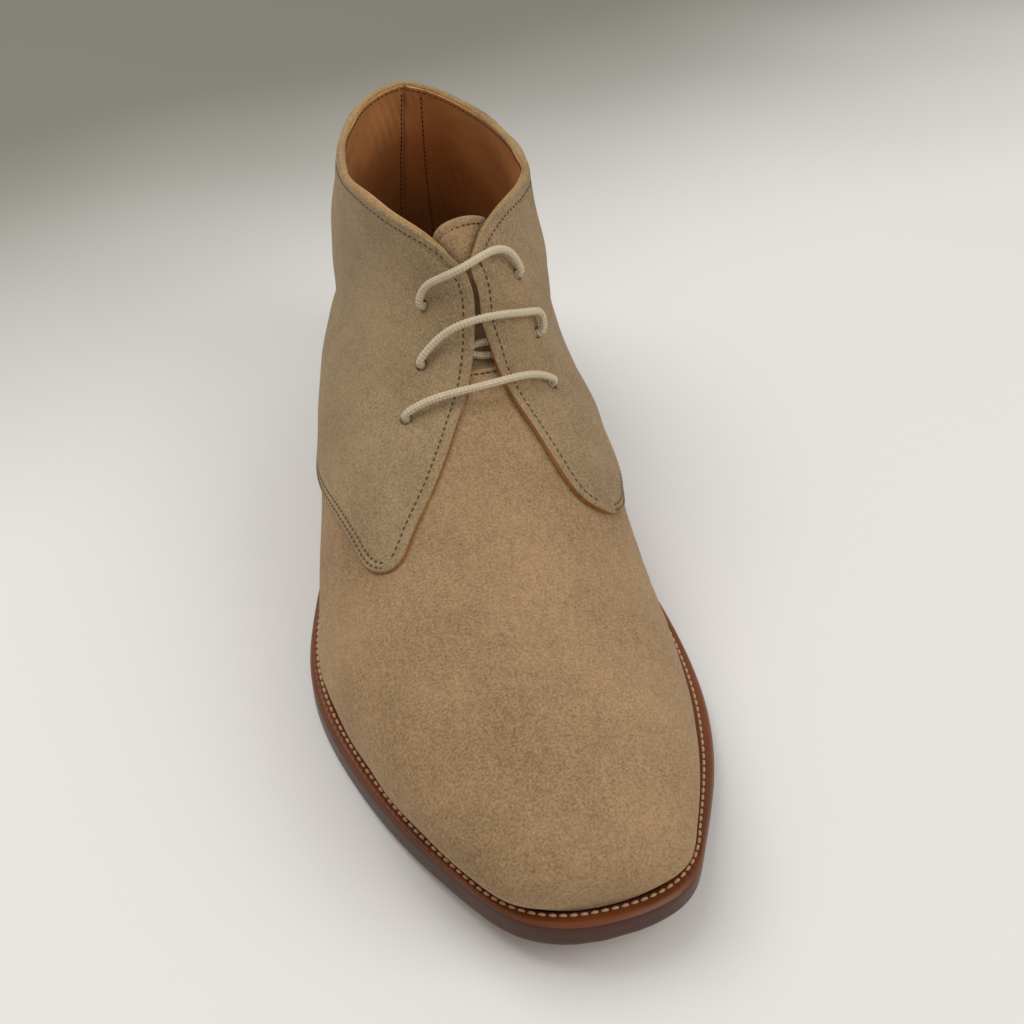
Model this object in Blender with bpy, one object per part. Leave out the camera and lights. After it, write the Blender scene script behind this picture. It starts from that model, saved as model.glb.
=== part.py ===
"""Chukka boot, left, standing on its sole. Metres, +Z up, toe towards -Y,
the wearer's outer side towards +X. The origin is under the middle of the sole.

The upper, tongue and lace all follow one surface, the last. A section of the
last runs from the inner foot line over the ridge to the outer foot line, in a
plane that tips back from the toe wall to the collar as the share s goes from
0 to 1. Across a section the share a goes from 0 to 1, and 0.5 is the ridge."""

import bmesh
import bpy
import numpy as np
from mathutils import Vector

# Sole
LENGTH = 0.300  # outsole, toe to heel
BALL_WIDTH = 0.112  # outsole across the ball
OUTSOLE = 0.005  # leather outsole
WELT = 0.0035  # welt, and the rand round the heel
INSOLE = 0.003  # insole above the welt
TOE_SPRING = 0.010  # lift of the toe
HEEL_HEIGHT = 0.024  # stacked heel under the outsole
TOP_PIECE = 0.006  # lowest layer of the heel
HEEL_TAPER = 0.0022  # inset of the heel's foot
HEEL_LIFTS = 3
BREAST_CURVE = 0.005  # hollow of the heel's front
EDGE_TOE = 0.0050  # sole edge showing beyond the upper
EDGE_BALL = 0.0045
EDGE_WAIST = 0.0020
EDGE_HEEL = 0.0030
EDGE_ROUND = 0.0008  # rounding of the outsole's edge

# Upper
BACK_HEIGHT = 0.112  # floor to the collar's back
VAMP_WALL = 0.0022  # vamp and its lining
LINING = 0.0012  # wall under the quarters at the shaft
QUARTER = 0.0015  # quarters above the vamp's face
QUARTER_SINK = 0.0008  # quarters fused into the layer under them
LACE = 0.0025  # lace diameter
LACE_TURN = 0.0008  # room for the lace to turn at a hole
EYELET = 0.0044  # lace hole diameter
TONGUE = 0.0020
TONGUE_RISE = 0.011  # tongue above the collar's front
FLARE_LEAST = 0.0020  # rounds the place where the last starts to overhang
GAP = 0.0003  # clearance between pieces
SOCK_ROOM = 0.0012  # clearance round the insole
QUARTER_TOP = 0.996  # quarters' rim on the last, just under the lining's
QUARTER_LIP = 0.0005  # quarters' lower rim above the lining's

# Places along the sole, as shares of LENGTH from the toe
FLAT_FROM = 0.30
FLAT_TO = 0.40
SEAT_FROM = 0.72  # shank reaches the heel seat
BREAST = 0.76
RUBBER_FROM = 0.90

# Outsole seen from below: share of LENGTH from the toe, then shares of
# BALL_WIDTH for the middle line's place and the half width
OUTLINE_COLUMNS = ("along", "middle", "half")
OUTLINE = (
    (0.013, 0.051, 0.160),
    (0.057, 0.049, 0.269),
    (0.133, 0.042, 0.375),
    (0.233, 0.026, 0.465),
    (0.350, 0.000, 0.496),
    (0.483, 0.012, 0.430),
    (0.617, 0.029, 0.320),
    (0.750, 0.042, 0.292),
    (0.883, 0.070, 0.285),
    (0.967, 0.085, 0.196),
)
TOE_BLUNT = 0.78  # half width per sine of the turn, at the two tips
HEEL_BLUNT = 0.62
TOE_MIDDLE = 0.034
HEEL_MIDDLE = 0.082

# Last, in equal steps of s after the toe tip. ridge_along: share of LENGTH from the
# toe. ridge_high: share of BACK_HEIGHT. ridge_side, and half width at the widest
# place: shares of BALL_WIDTH.
# ground: 0 to 1 round the foot line to the heel, 1 to 2 up the back seam.
# low: height of the widest place. square: 2 is an ellipse, more is fuller.
LAST_COLUMNS = ("ridge_along", "ridge_high", "ridge_side", "ground", "wide", "low", "square")
LAST = (
    (0.015, 0.272, 0.034, 0.12, 0.228, 0.45, 2.30),
    (0.057, 0.368, 0.000, 0.22, 0.331, 0.33, 2.32),
    (0.143, 0.437, -0.038, 0.31, 0.419, 0.20, 2.20),
    (0.244, 0.482, -0.046, 0.39, 0.460, 0.17, 2.10),
    (0.326, 0.530, -0.015, 0.47, 0.440, 0.22, 2.10),
    (0.405, 0.589, 0.018, 0.56, 0.403, 0.30, 2.09),
    (0.483, 0.669, 0.038, 0.70, 0.353, 0.31, 2.06),
    (0.517, 0.764, 0.076, 0.95, 0.313, 0.28, 2.18),
    (0.542, 0.853, 0.092, 1.45, 0.284, 0.36, 1.85),
    (0.560, 0.927, 0.066, 2.00, 0.258, 0.54, 1.45),
)

# Front, tip and lower edge of each quarter, from the collar to the waist, on
# the last: s, and how far a is from the ridge
FLAP_COLUMNS = ("s", "away")
INNER_FLAP = (
    (1.000, 0.024),
    (0.980, 0.013),
    (0.950, 0.011),
    (0.900, 0.014),
    (0.830, 0.016),
    (0.740, 0.010),
    (0.688, 0.017),
    (0.656, 0.033),
    (0.609, 0.060),
    (0.535, 0.110),
    (0.490, 0.139),
    (0.480, 0.166),
    (0.495, 0.206),
    (0.554, 0.259),
    (0.593, 0.337),
    (0.636, 0.500),
)
OUTER_FLAP = (
    (1.000, 0.006),
    (0.980, 0.000),
    (0.937, -0.004),
    (0.878, -0.006),
    (0.830, -0.002),
    (0.792, 0.012),
    (0.747, 0.030),
    (0.690, 0.054),
    (0.631, 0.082),
    (0.556, 0.128),
    (0.522, 0.176),
    (0.513, 0.230),
    (0.528, 0.285),
    (0.570, 0.350),
    (0.610, 0.430),
    (0.636, 0.500),
)

# Throat of the vamp under the quarters, and the tongue's half width
THROAT_COLUMNS = ("s", "away")
THROAT = ((0.730, 0.000), (0.740, 0.016), (0.760, 0.026), (0.810, 0.030), (1.000, 0.032))
THROAT_MIDDLE = 0.500
TONGUE_COLUMNS = ("s", "away")
TONGUE_SHAPE = ((0.60, 0.060), (0.66, 0.085), (0.80, 0.098), (0.95, 0.090), (1.12, 0.066))

# Lace holes on the last, from the vamp up
EYELET_COLUMNS = ("inner_s", "inner_a", "outer_s", "outer_a")
EYELETS = (
    (0.662, 0.387, 0.678, 0.647),
    (0.745, 0.405, 0.774, 0.627),
    (0.863, 0.400, 0.912, 0.576),
)

# Crossings of the lace over the quarters, from hole to hole: row of the holes,
# share of the way, how far s rises over the holes, and height in layers
BAR_COLUMNS = ("row", "share", "rise", "layers")
BARS = (
    (0, 0.08, 0.007, 1.35),
    (0, 0.25, 0.019, 1.45),
    (0, 0.50, 0.026, 1.40),
    (0, 0.76, 0.024, 1.45),
    (0, 0.92, 0.009, 1.35),
    (1, 0.07, 0.030, 1.35),
    (1, 0.25, 0.072, 1.55),
    (1, 0.50, 0.085, 1.60),
    (1, 0.76, 0.067, 1.50),
    (1, 0.93, 0.034, 1.35),
    (2, 0.07, 0.024, 1.40),
    (2, 0.28, 0.062, 1.80),
    (2, 0.55, 0.104, 2.00),
    (2, 0.78, 0.088, 1.90),
    (2, 0.93, 0.036, 1.50),
)

# Places on the last that the lace's two hidden runs pass, over the throat's start
RUN_COLUMNS = ("s", "a")
INNER_RUN = ((0.780, 0.560), (0.790, 0.500), (0.762, 0.445), (0.710, 0.410))
OUTER_RUN = ((0.720, 0.610), (0.757, 0.545), (0.768, 0.490), (0.800, 0.440), (0.835, 0.415))

# Back seam: share of the way up, then share of LENGTH in front of the heel tip
BACK_COLUMNS = ("up", "forward")
BACK = ((0.0, 0.0), (0.25, -0.004), (0.5, 0.006), (0.75, 0.027), (1.0, 0.048))


def column(table, columns, name):
    """One named column of a table."""
    return np.array([row[columns.index(name)] for row in table])


def spline(knots, values, at):
    """Natural cubic spline through values at knots, read at any places."""
    x, y, at = (np.asarray(v, float) for v in (knots, values, at))
    step = np.diff(x)
    slope = np.diff(y) / step
    count = len(x)
    matrix = np.eye(count)
    right = np.zeros(count)
    for i in range(1, count - 1):
        matrix[i, i - 1 : i + 2] = step[i - 1], 2 * (step[i - 1] + step[i]), step[i]
        right[i] = 6 * (slope[i] - slope[i - 1])
    bend = np.linalg.solve(matrix, right)
    i = np.clip(np.searchsorted(x, at) - 1, 0, count - 2)
    t, h = at - x[i], step[i]
    return (
        y[i]
        + t * (slope[i] - h * (2 * bend[i] + bend[i + 1]) / 6)
        + t**2 * bend[i] / 2
        + t**3 * (bend[i + 1] - bend[i]) / (6 * h)
    )


def turn(along):
    """Share of the half turn at which a round-ended outline is that far along."""
    return np.arccos(1 - 2 * np.asarray(along, float)) / np.pi


def middle(u):
    """Sideways place of the sole's middle line."""
    knots = turn(np.r_[0, column(OUTLINE, OUTLINE_COLUMNS, "along"), 1])
    values = np.r_[TOE_MIDDLE, column(OUTLINE, OUTLINE_COLUMNS, "middle"), HEEL_MIDDLE]
    return BALL_WIDTH * spline(knots, values, u)


def half(u):
    """Half width of the outsole: a spline of width per sine, times the sine."""
    knots = turn(column(OUTLINE, OUTLINE_COLUMNS, "along"))
    widths = column(OUTLINE, OUTLINE_COLUMNS, "half") / np.sin(np.pi * knots)
    widths = np.r_[TOE_BLUNT, widths, HEEL_BLUNT]
    return BALL_WIDTH * spline(np.r_[0, knots, 1], widths, u) * np.sin(np.pi * np.asarray(u))


def edge(u):
    """Width of the sole's edge beyond the upper."""
    return spline((0, 0.40, 0.62, 1), (EDGE_TOE, EDGE_BALL, EDGE_WAIST, EDGE_HEEL), u)


def foot_y(u):
    """Place along the shoe of the line where the upper meets the welt."""
    start = -LENGTH / 2 + EDGE_TOE
    return start + (LENGTH - EDGE_TOE - EDGE_HEEL) * (1 - np.cos(np.pi * u)) / 2


def foot_half(u):
    """Half width of the upper where it meets the welt."""
    return half(u) - edge(u) * np.sin(np.pi * u) ** 2


def tread(y):
    """Height of the outsole's underside: toe spring, flat tread, shank and seat."""
    along = y / LENGTH + 0.5
    spring = np.clip(1 - along / FLAT_FROM, 0, None)
    rise = np.clip((along - FLAT_TO) / (SEAT_FROM - FLAT_TO), 0, 1)
    return TOE_SPRING * spring**2 + HEEL_HEIGHT * rise**2 * (3 - 2 * rise)


def seat(y):
    """Height of the upper's bottom edge, on the welt."""
    return tread(y) + OUTSOLE + WELT + 2 * GAP


def read_last(name, s):
    """A column of the last's table at s. The first section is the toe tip."""
    tip = {
        "ridge_along": EDGE_TOE / LENGTH,
        "ridge_high": seat(foot_y(0)) / BACK_HEIGHT,
        "ridge_side": TOE_MIDDLE,
        "ground": 0,
        "wide": 0,
        "low": 0.5,
        "square": 2.2,
    }
    values = np.r_[tip[name], column(LAST, LAST_COLUMNS, name)]
    return spline(np.linspace(0, 1, len(values)), values, s)


def last(s, a):
    """Points of the last. Above its widest place a section is a squared half
    ellipse, and below it an ellipse's flank that turns in to the foot line, or
    to the back seam, where both sides meet."""
    s, a = np.broadcast_arrays(np.asarray(s, float), np.asarray(a, float))
    ground = read_last("ground", s)
    u = np.clip(ground, 0, 1)
    up = np.clip(ground - 1, 0, None)
    top_y = LENGTH * (read_last("ridge_along", s) - 0.5)
    top_z = BACK_HEIGHT * read_last("ridge_high", s)
    top_x = BALL_WIDTH * read_last("ridge_side", s)
    forward = spline(column(BACK, BACK_COLUMNS, "up"), column(BACK, BACK_COLUMNS, "forward"), up)
    heel_z = seat(foot_y(1))
    low_y = foot_y(u) - LENGTH * forward
    low_z = np.where(up > 0, heel_z + up * (BACK_HEIGHT - heel_z), seat(foot_y(u)))
    low_x = middle(u)
    foot = np.where(ground < 1, np.clip(foot_half(u), 0, None), 0)
    over = BALL_WIDTH * read_last("wide", s) - foot
    width = foot + (over + np.hypot(over, FLARE_LEAST * np.clip(10 * s, 0, 1))) / 2
    height = np.hypot(top_y - low_y, top_z - low_z)
    low = read_last("low", s) * height
    high = height - low
    flare = np.maximum(np.arccos(np.clip(foot / np.maximum(width, 1e-9), 0, 1)), 1e-4)
    upper = np.hypot(width, high) * 1.11
    lower = np.hypot(width - foot, low) * (1 + 0.11 * np.sin(flare))
    share = upper / np.maximum(upper + lower, 1e-9)
    across = np.abs(2 * a - 1)
    angle = np.clip(1 - across / np.maximum(share, 1e-6), 0, 1) * np.pi / 2
    down = np.clip((across - share) / np.maximum(1 - share, 1e-6), 0, 1) * flare
    square = read_last("square", s)
    cosine, sine = np.cos(angle), np.sin(angle)
    reach = (cosine**square + sine**square) ** (-1 / square)
    above = across <= share
    out = np.where(above, cosine * reach, np.cos(down)) * width
    lift = np.where(above, low + high * sine * reach, low * (1 - np.sin(down) / np.sin(flare)))
    share_up = lift / np.maximum(height, 1e-9)
    x = low_x + (top_x - low_x) * share_up + np.sign(2 * a - 1) * out
    y = low_y + (top_y - low_y) * share_up
    z = low_z + (top_z - low_z) * share_up
    return np.stack((x, y, z), axis=-1)


def wall(s):
    """Wall under the last: vamp and lining, thinning to the lining at the shaft."""
    thin = np.clip((np.asarray(s, float) - 0.45) / 0.20, 0, 1)
    return VAMP_WALL + (LINING - VAMP_WALL) * thin * thin * (3 - 2 * thin)


def heel_share():
    """The s whose section ends at the heel tip of the foot line."""
    steps = np.linspace(0, 1, 2001)
    return float(np.interp(1.0, read_last("ground", steps), steps))


def reach(s, a):
    """Points of the last, carried on straight above the collar."""
    over = np.clip(np.asarray(s, float) - 1, 0, None)[..., None]
    top = last(np.minimum(s, 1), a)
    return top + over * (top - last(np.minimum(s, 1) - 0.01, a)) / 0.01


def normals(s, a):
    """Outward normals. They lie flat along the foot line, and in the middle
    plane down the back seam."""
    s, a = np.broadcast_arrays(np.asarray(s, float), np.asarray(a, float))
    step = 0.001
    at = np.clip(s, 0.02, 1)
    along = last(np.clip(at + step, 0, 1), a) - last(at - step, a)
    across = last(at, np.clip(a + step, 0, 1)) - last(at, np.clip(a - step, 0, 1))
    normal = np.cross(across, along)
    end = (a <= 0) | (a >= 1)
    ground = read_last("ground", np.minimum(s, 1))
    normal[..., 2] = np.where(end & (ground < 1.001), 0, normal[..., 2])
    normal[..., 0] = np.where(end & (ground > 0.999), 0, normal[..., 0])
    normal[s <= 0] = (0, -1, 0)
    return normal / np.linalg.norm(normal, axis=-1, keepdims=True)


def skin(s, a, lift):
    """Points of the last moved out along its normals."""
    s, a = np.broadcast_arrays(np.asarray(s, float), np.asarray(a, float))
    return reach(s, a) + np.broadcast_to(np.asarray(lift, float), s.shape)[..., None] * normals(s, a)


def curve(points, count):
    """Smooth curve through points, read at even steps of its chord length."""
    points = np.asarray(points, float)
    chord = np.r_[0, np.cumsum(np.linalg.norm(np.diff(points, axis=0), axis=1))]
    at = np.linspace(0, chord[-1], count)
    return np.stack([spline(chord, points[:, i], at) for i in range(points.shape[1])], axis=-1)


# Building


def material(name, colour, roughness):
    """A plain finish for one sub-part."""
    made = bpy.data.materials.new(name)
    made.use_nodes = True
    shader = made.node_tree.nodes["Principled BSDF"]
    shader.inputs["Base Color"].default_value = (*colour, 1)
    shader.inputs["Roughness"].default_value = roughness
    shader.inputs["Metallic"].default_value = 0
    return made


def add(name, points, faces, finish):
    """An object from points and faces."""
    mesh = bpy.data.meshes.new(name)
    mesh.from_pydata([tuple(map(float, p)) for p in points], [], [tuple(map(int, f)) for f in faces])
    mesh.validate()
    mesh.update()
    mesh.materials.append(finish)
    piece = bpy.data.objects.new(name, mesh)
    bpy.context.collection.objects.link(piece)
    return piece


def grid(rows, columns):
    """Faces of a grid of points, row by row."""
    corner = np.arange(rows * columns).reshape(rows, columns)
    sides = corner[:-1, :-1], corner[:-1, 1:], corner[1:, 1:], corner[1:, :-1]
    return np.stack([side.ravel() for side in sides], axis=-1)


def walled(name, outer, inner, faces, finish):
    """A closed wall between two like surfaces, with a rim along each open edge.
    Points that meet on the outer surface are one point on both."""
    rounded = np.round(outer * 1e7).astype(np.int64)
    _, first, same = np.unique(rounded, axis=0, return_index=True, return_inverse=True)
    same = same.ravel()
    count = len(first)
    points = np.concatenate((outer[first], inner[first]))
    shell = []
    for face in same[faces]:
        kept = [int(v) for i, v in enumerate(face) if v != face[i - 1]]
        if len(set(kept)) > 2:
            shell.append(kept)
    edges = {(face[i - 1], face[i]) for face in shell for i in range(len(face))}
    closed = [tuple(face) for face in shell]
    closed += [tuple(v + count for v in reversed(face)) for face in shell]
    closed += [(b, a, a + count, b + count) for a, b in edges if (b, a) not in edges]
    return add(name, points, closed, finish)


def loop(inner_side, outer_side):
    """Closed ring of points: toe tip, outer side, heel tip, inner side."""
    return np.concatenate((outer_side, inner_side[-2:0:-1]))


def inset(ring, width):
    """A ring moved inwards in plan, by one width or one for each point."""
    along = np.roll(ring, -1, axis=0) - np.roll(ring, 1, axis=0)
    inward = np.stack((-along[:, 1], along[:, 0], 0 * along[:, 0]), axis=-1)
    inward /= np.linalg.norm(inward, axis=1, keepdims=True)
    return ring + inward * np.broadcast_to(width, len(ring))[:, None]


def at_height(ring, height):
    """A ring with its heights replaced."""
    return np.column_stack((ring[:, :2], np.broadcast_to(height, len(ring))))


def stack(name, rings, finish, capped=True):
    """A closed solid through rings of points, bottom to top. Caps run across
    from side to side, and without caps the last ring joins the first."""
    count = len(rings[0])
    points = np.concatenate(rings)
    here = np.arange(count)
    after = (here + 1) % count
    faces = []
    for i in range(len(rings) - (1 if capped else 0)):
        low, high = i * count, (i + 1) % len(rings) * count
        faces += np.stack((low + here, low + after, high + after, high + here), axis=-1).tolist()
    if capped:
        pairs = range(count // 2)
        ends = [[k, k + 1, count - k - 1, (count - k) % count] for k in pairs]
        caps = [[v for i, v in enumerate(f) if v != f[i - 1]] for f in ends]
        top = (len(rings) - 1) * count
        faces += [[v + top for v in f] for f in caps] + [f[::-1] for f in caps]
    return add(name, points, faces, finish)


def foot_steps(sections):
    """Turns round the foot line at which the upper's sections meet it."""
    ground = read_last("ground", sections)
    return np.append(ground[ground < 1 - 1e-6], 1.0), sections[: np.sum(ground < 1 - 1e-6) + 1]


def sole_ring(u):
    """Ring of the outsole's outline."""
    y = -LENGTH / 2 * np.cos(np.pi * u)
    sides = [np.stack((middle(u) + side * half(u), y, 0 * u), axis=-1) for side in (-1, 1)]
    return loop(*sides)


def foot_ring(u):
    """Ring of the line where the upper meets the welt."""
    y = foot_y(u)
    sides = [np.stack((middle(u) + side * foot_half(u), y, 0 * u), axis=-1) for side in (-1, 1)]
    return loop(*sides)


def make_outsole(u, finish):
    """Leather outsole with a rounded edge below."""
    ring = sole_ring(u)
    bottom = inset(ring, EDGE_ROUND)
    rings = [
        at_height(bottom, tread(bottom[:, 1])),
        at_height(ring, tread(ring[:, 1]) + EDGE_ROUND),
        at_height(ring, tread(ring[:, 1]) + OUTSOLE),
    ]
    return stack("outsole", rings, finish)


def make_welt(u, wall_width, finish):
    """Strip between outsole and upper, from its edge to the upper's inner face."""
    outer = sole_ring(u)
    inner = inset(foot_ring(u), wall_width)
    base = OUTSOLE + GAP
    rings = [
        at_height(outer, tread(outer[:, 1]) + base),
        at_height(outer, tread(outer[:, 1]) + base + WELT),
        at_height(inner, tread(inner[:, 1]) + base + WELT),
        at_height(inner, tread(inner[:, 1]) + base),
    ]
    return stack("welt", rings, finish, capped=False)


def make_insole(u, wall_width, finish):
    """Insole inside the welt and the upper."""
    ring = inset(foot_ring(u), wall_width + SOCK_ROOM)
    rings = [
        at_height(ring, tread(ring[:, 1]) + OUTSOLE + GAP),
        at_height(ring, seat(ring[:, 1]) + INSOLE),
    ]
    return stack("insole", rings, finish)


def heel_ring(start, end, hollow_start, hollow_end):
    """Ring of a heel layer between two places along the sole. Each end but the
    round back is a line, hollowed towards the back in its middle."""
    stations = np.linspace(turn(start), turn(end), 13)
    y = -LENGTH / 2 * np.cos(np.pi * stations)
    centre, width = middle(stations), half(stations)
    outer = np.stack((centre + width, y, 0 * y), axis=-1)
    inner = np.stack((centre - width, y, 0 * y), axis=-1)[::-1]
    across = np.linspace(-1, 1, 9)[1:-1]

    def line(i, hollow, way):
        share = across * way
        x = centre[i] + width[i] * share
        return np.stack((x, y[i] + hollow * (1 - share**2), 0 * x), axis=-1)

    back = line(-1, hollow_end, -1) if end < 1 else np.empty((0, 3))
    if end >= 1:
        inner = inner[1:]
    return np.concatenate((outer, back, inner, line(0, hollow_start, 1)))


def make_heel(rubber, leather):
    """Leather lifts over a top piece that is leather in front and rubber behind."""

    def layer(name, ring, low, high, finish):
        taper = [HEEL_TAPER * (1 - z / HEEL_HEIGHT) for z in (low, high)]
        centre = np.array((middle(turn(RUBBER_FROM)), LENGTH * (RUBBER_FROM - 0.5), 0))
        size = LENGTH * (1 - BREAST) / 2
        rings = [at_height(centre + (ring - centre) * (1 - t / size), z) for t, z in zip(taper, (low, high))]
        count = len(ring)
        faces = [[k, (k + 1) % count, (k + 1) % count + count, k + count] for k in range(count)]
        faces += [list(range(count))[::-1], list(range(count, 2 * count))]
        return add(name, np.concatenate(rings), faces, finish)

    front = heel_ring(BREAST, RUBBER_FROM - GAP / LENGTH, BREAST_CURVE, 0)
    rear = heel_ring(RUBBER_FROM, 1, 0, 0)
    layer("heel_top_leather", front, 0, TOP_PIECE, leather)
    layer("heel_top_rubber", rear, 0, TOP_PIECE, rubber)
    lift = (HEEL_HEIGHT - TOP_PIECE - (HEEL_LIFTS + 1) * GAP) / HEEL_LIFTS
    whole = heel_ring(BREAST, 1, BREAST_CURVE, 0)
    for i in range(HEEL_LIFTS):
        low = TOP_PIECE + GAP + i * (lift + GAP)
        layer(f"heel_lift_{i + 1}", whole, low, low + lift, leather)


def sections():
    """The upper's sections: close at the toe wall and round the heel, one at
    the throat's start, and one at the heel tip."""
    heel = heel_share()
    throat = column(THROAT, THROAT_COLUMNS, "s")
    rows = np.concatenate((
        np.linspace(0, 0.1, 4)[:-1],
        np.linspace(0.1, throat[0], 17)[:-1],
        np.linspace(throat[0], heel, 9)[:-1],
        np.linspace(heel, 1, 9),
    ))
    return rows


def make_lining(rows, finish):
    """Vamp and lining: one wall inside the last, slit open at the throat."""
    throat = column(THROAT, THROAT_COLUMNS, "s")
    away = column(THROAT, THROAT_COLUMNS, "away")
    open_by = np.interp(rows, throat, away, left=0)
    centre = np.where(open_by > 0, THROAT_MIDDLE, 0.5)
    steps = np.linspace(0, 1, 17)
    left = (centre - open_by)[:, None] * steps
    right = (centre + open_by)[:, None] + (1 - centre - open_by)[:, None] * steps
    faces = grid(len(rows), len(steps))
    outer, inner = [], []
    for a in (left, right):
        s = np.repeat(rows[:, None], len(steps), axis=1)
        outer.append(skin(s, a, 0).reshape(-1, 3))
        inner.append(skin(s, a, -wall(s)).reshape(-1, 3))
    faces = np.concatenate((faces, faces + len(outer[0])))
    return walled("upper", np.concatenate(outer), np.concatenate(inner), faces, finish)


def flap_edge(table, s, way):
    """How far from the ridge a quarter's front edge (way -1) or lower edge
    (way 1) is at s. Both are one spline over the signed root of the distance
    from the tip, which makes the tip round."""
    knots_s, away = (column(table, FLAP_COLUMNS, name) for name in FLAP_COLUMNS)
    tip = int(np.argmin(knots_s))
    sign = np.where(np.arange(len(knots_s)) < tip, -1, 1)
    knots = sign * np.sqrt(knots_s - knots_s[tip])
    return spline(knots, away, way * np.sqrt(np.clip(s - knots_s[tip], 0, None)))


def make_quarters(sections, finish):
    """Both quarters in one wall over the last, from the collar down to the foot
    line, the waist and the tip. They share the lining's sections, so that the
    two walls meet along the same lines."""
    heel = heel_share()
    outer, inner, faces = [], [], []
    for table, side, way in ((INNER_FLAP, -1, 1), (OUTER_FLAP, 1, -1)):
        waist, tip = table[-1][0], min(row[0] for row in table)
        shared = sections[(sections > waist + 0.005) & (sections < QUARTER_TOP - 0.005)][::-1]
        nose = tip + (waist - tip) * np.linspace(1, 0, 9) ** 2
        rows = np.r_[QUARTER_TOP, shared, nose][:, None]
        front = flap_edge(table, rows, -1)
        rear = np.where(rows < waist, flap_edge(table, rows, 1), 0.5)
        steps = np.linspace(0, 1, 14)[None, ::way]
        a = 0.5 + side * (front + (rear - front) * steps)
        s = rows + 0 * a
        lip = np.where(((a <= 0) | (a >= 1)) & (s <= heel), QUARTER_LIP, 0)[..., None] * np.array((0, 0, 1))
        faces.append(grid(*a.shape) + sum(len(part) for part in outer))
        outer.append((skin(s, a, QUARTER) + lip).reshape(-1, 3))
        inner.append((skin(s, a, -QUARTER_SINK) + lip).reshape(-1, 3))
    return walled("quarters", *map(np.concatenate, (outer, inner, faces)), finish)


def boolean(target, tool, operation):
    """Union with another piece, or a cut by it."""
    change = target.modifiers.new(operation.title(), "BOOLEAN")
    change.operation = operation
    change.object = tool
    change.solver = "MANIFOLD"
    tool.hide_render = True
    tool.display_type = "WIRE"


def make_upper(rows, finish):
    """The upper: vamp, lining and quarters in one wall, with its lace holes."""
    upper = make_lining(rows, finish)
    boolean(upper, make_quarters(rows, finish), "UNION")
    for row in EYELETS:
        for s, a in (row[:2], row[2:]):
            centre, way = skin(s, a, 0), normals(s, a)
            bpy.ops.mesh.primitive_cylinder_add(vertices=12, radius=EYELET / 2, depth=0.012)
            hole = bpy.context.object
            hole.name = "hole"
            hole.location = centre
            hole.rotation_euler = Vector(way).to_track_quat("Z", "Y").to_euler()
            boolean(upper, hole, "DIFFERENCE")
    return upper


def tongue_face():
    """Depth of the tongue's face: under the lining and the lace."""
    return LINING + LACE + 2 * LACE_TURN + 2 * GAP


def make_tongue(finish):
    """Tongue under the lace, from inside the vamp to above the collar. Across, it
    is a parabola through three lines under the last: its two edges and the ridge."""
    s, away = (column(TONGUE_SHAPE, TONGUE_COLUMNS, name) for name in TONGUE_COLUMNS)
    top = 1 + TONGUE_RISE / 0.090
    side = np.linspace(-1, 1, 13)
    ends = top - 0.055 * np.abs(side) ** 2.5
    share = np.linspace(0, 1, 17)[:, None]
    rows = s[0] + (ends - s[0])[None] * share
    reach_out = spline(s, away, rows)
    weights = (side * (side - 1) / 2, 1 - side**2, side * (side + 1) / 2)
    faces = []
    for depth in (tongue_face(), tongue_face() + TONGUE):
        lines = [skin(rows, 0.5 + way * reach_out, -depth) for way in (-1, 0, 1)]
        faces.append(sum(w[None, :, None] * line for w, line in zip(weights, lines)).reshape(-1, 3))
    return walled("tongue", *faces, grid(*rows.shape), finish)


def bar_points(row):
    """Route of one crossing, from the inner hole to the outer, over the quarters."""
    inner, outer = np.array(EYELETS[row][:2]), np.array(EYELETS[row][2:])
    layer = QUARTER + GAP + LACE / 2
    points = []
    for index, share, rise, layers in BARS:
        if index == row:
            s, a = inner + (outer - inner) * share
            points.append(skin(s + rise, a, layer * layers))
    return points


def hole_points(row, side):
    """Route of the lace through a hole, from outside to inside."""
    s, a = hole(row, side)
    lifts = (QUARTER + LACE * 0.35, 0, -LINING - LACE * 0.3)
    return [skin(s, a, lift) for lift in lifts]


def run_points(places):
    """Route through places on the last, under the quarters and their lining."""
    depth = -LINING - GAP - LACE / 2 - LACE_TURN / 2
    return [skin(s, a, depth) for s, a in places]


def hole(row, side):
    """Place of a lace hole on the last."""
    return EYELETS[row][:2] if side == "inner" else EYELETS[row][2:]


def tube(name, route, count, finish):
    """A round cord along a smooth curve through its route, as a mesh."""
    points = curve(route, count)
    data = bpy.data.curves.new(name, "CURVE")
    data.dimensions = "3D"
    data.bevel_depth = LACE / 2
    data.bevel_resolution = 2
    data.use_fill_caps = True
    line = data.splines.new("POLY")
    line.points.add(count - 1)
    for point, place in zip(line.points, points):
        point.co = (*place, 1)
    cord = bpy.data.objects.new(name + "_route", data)
    bpy.context.collection.objects.link(cord)
    bpy.context.view_layer.update()
    mesh = bpy.data.meshes.new_from_object(cord.evaluated_get(bpy.context.evaluated_depsgraph_get()))
    bpy.data.objects.remove(cord)
    ends = bmesh.new()
    ends.from_mesh(mesh)
    bmesh.ops.remove_doubles(ends, verts=ends.verts, dist=0.00001)
    ends.to_mesh(mesh)
    ends.free()
    mesh.materials.clear()
    mesh.materials.append(finish)
    piece = bpy.data.objects.new(name, mesh)
    bpy.context.collection.objects.link(piece)
    return piece


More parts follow.
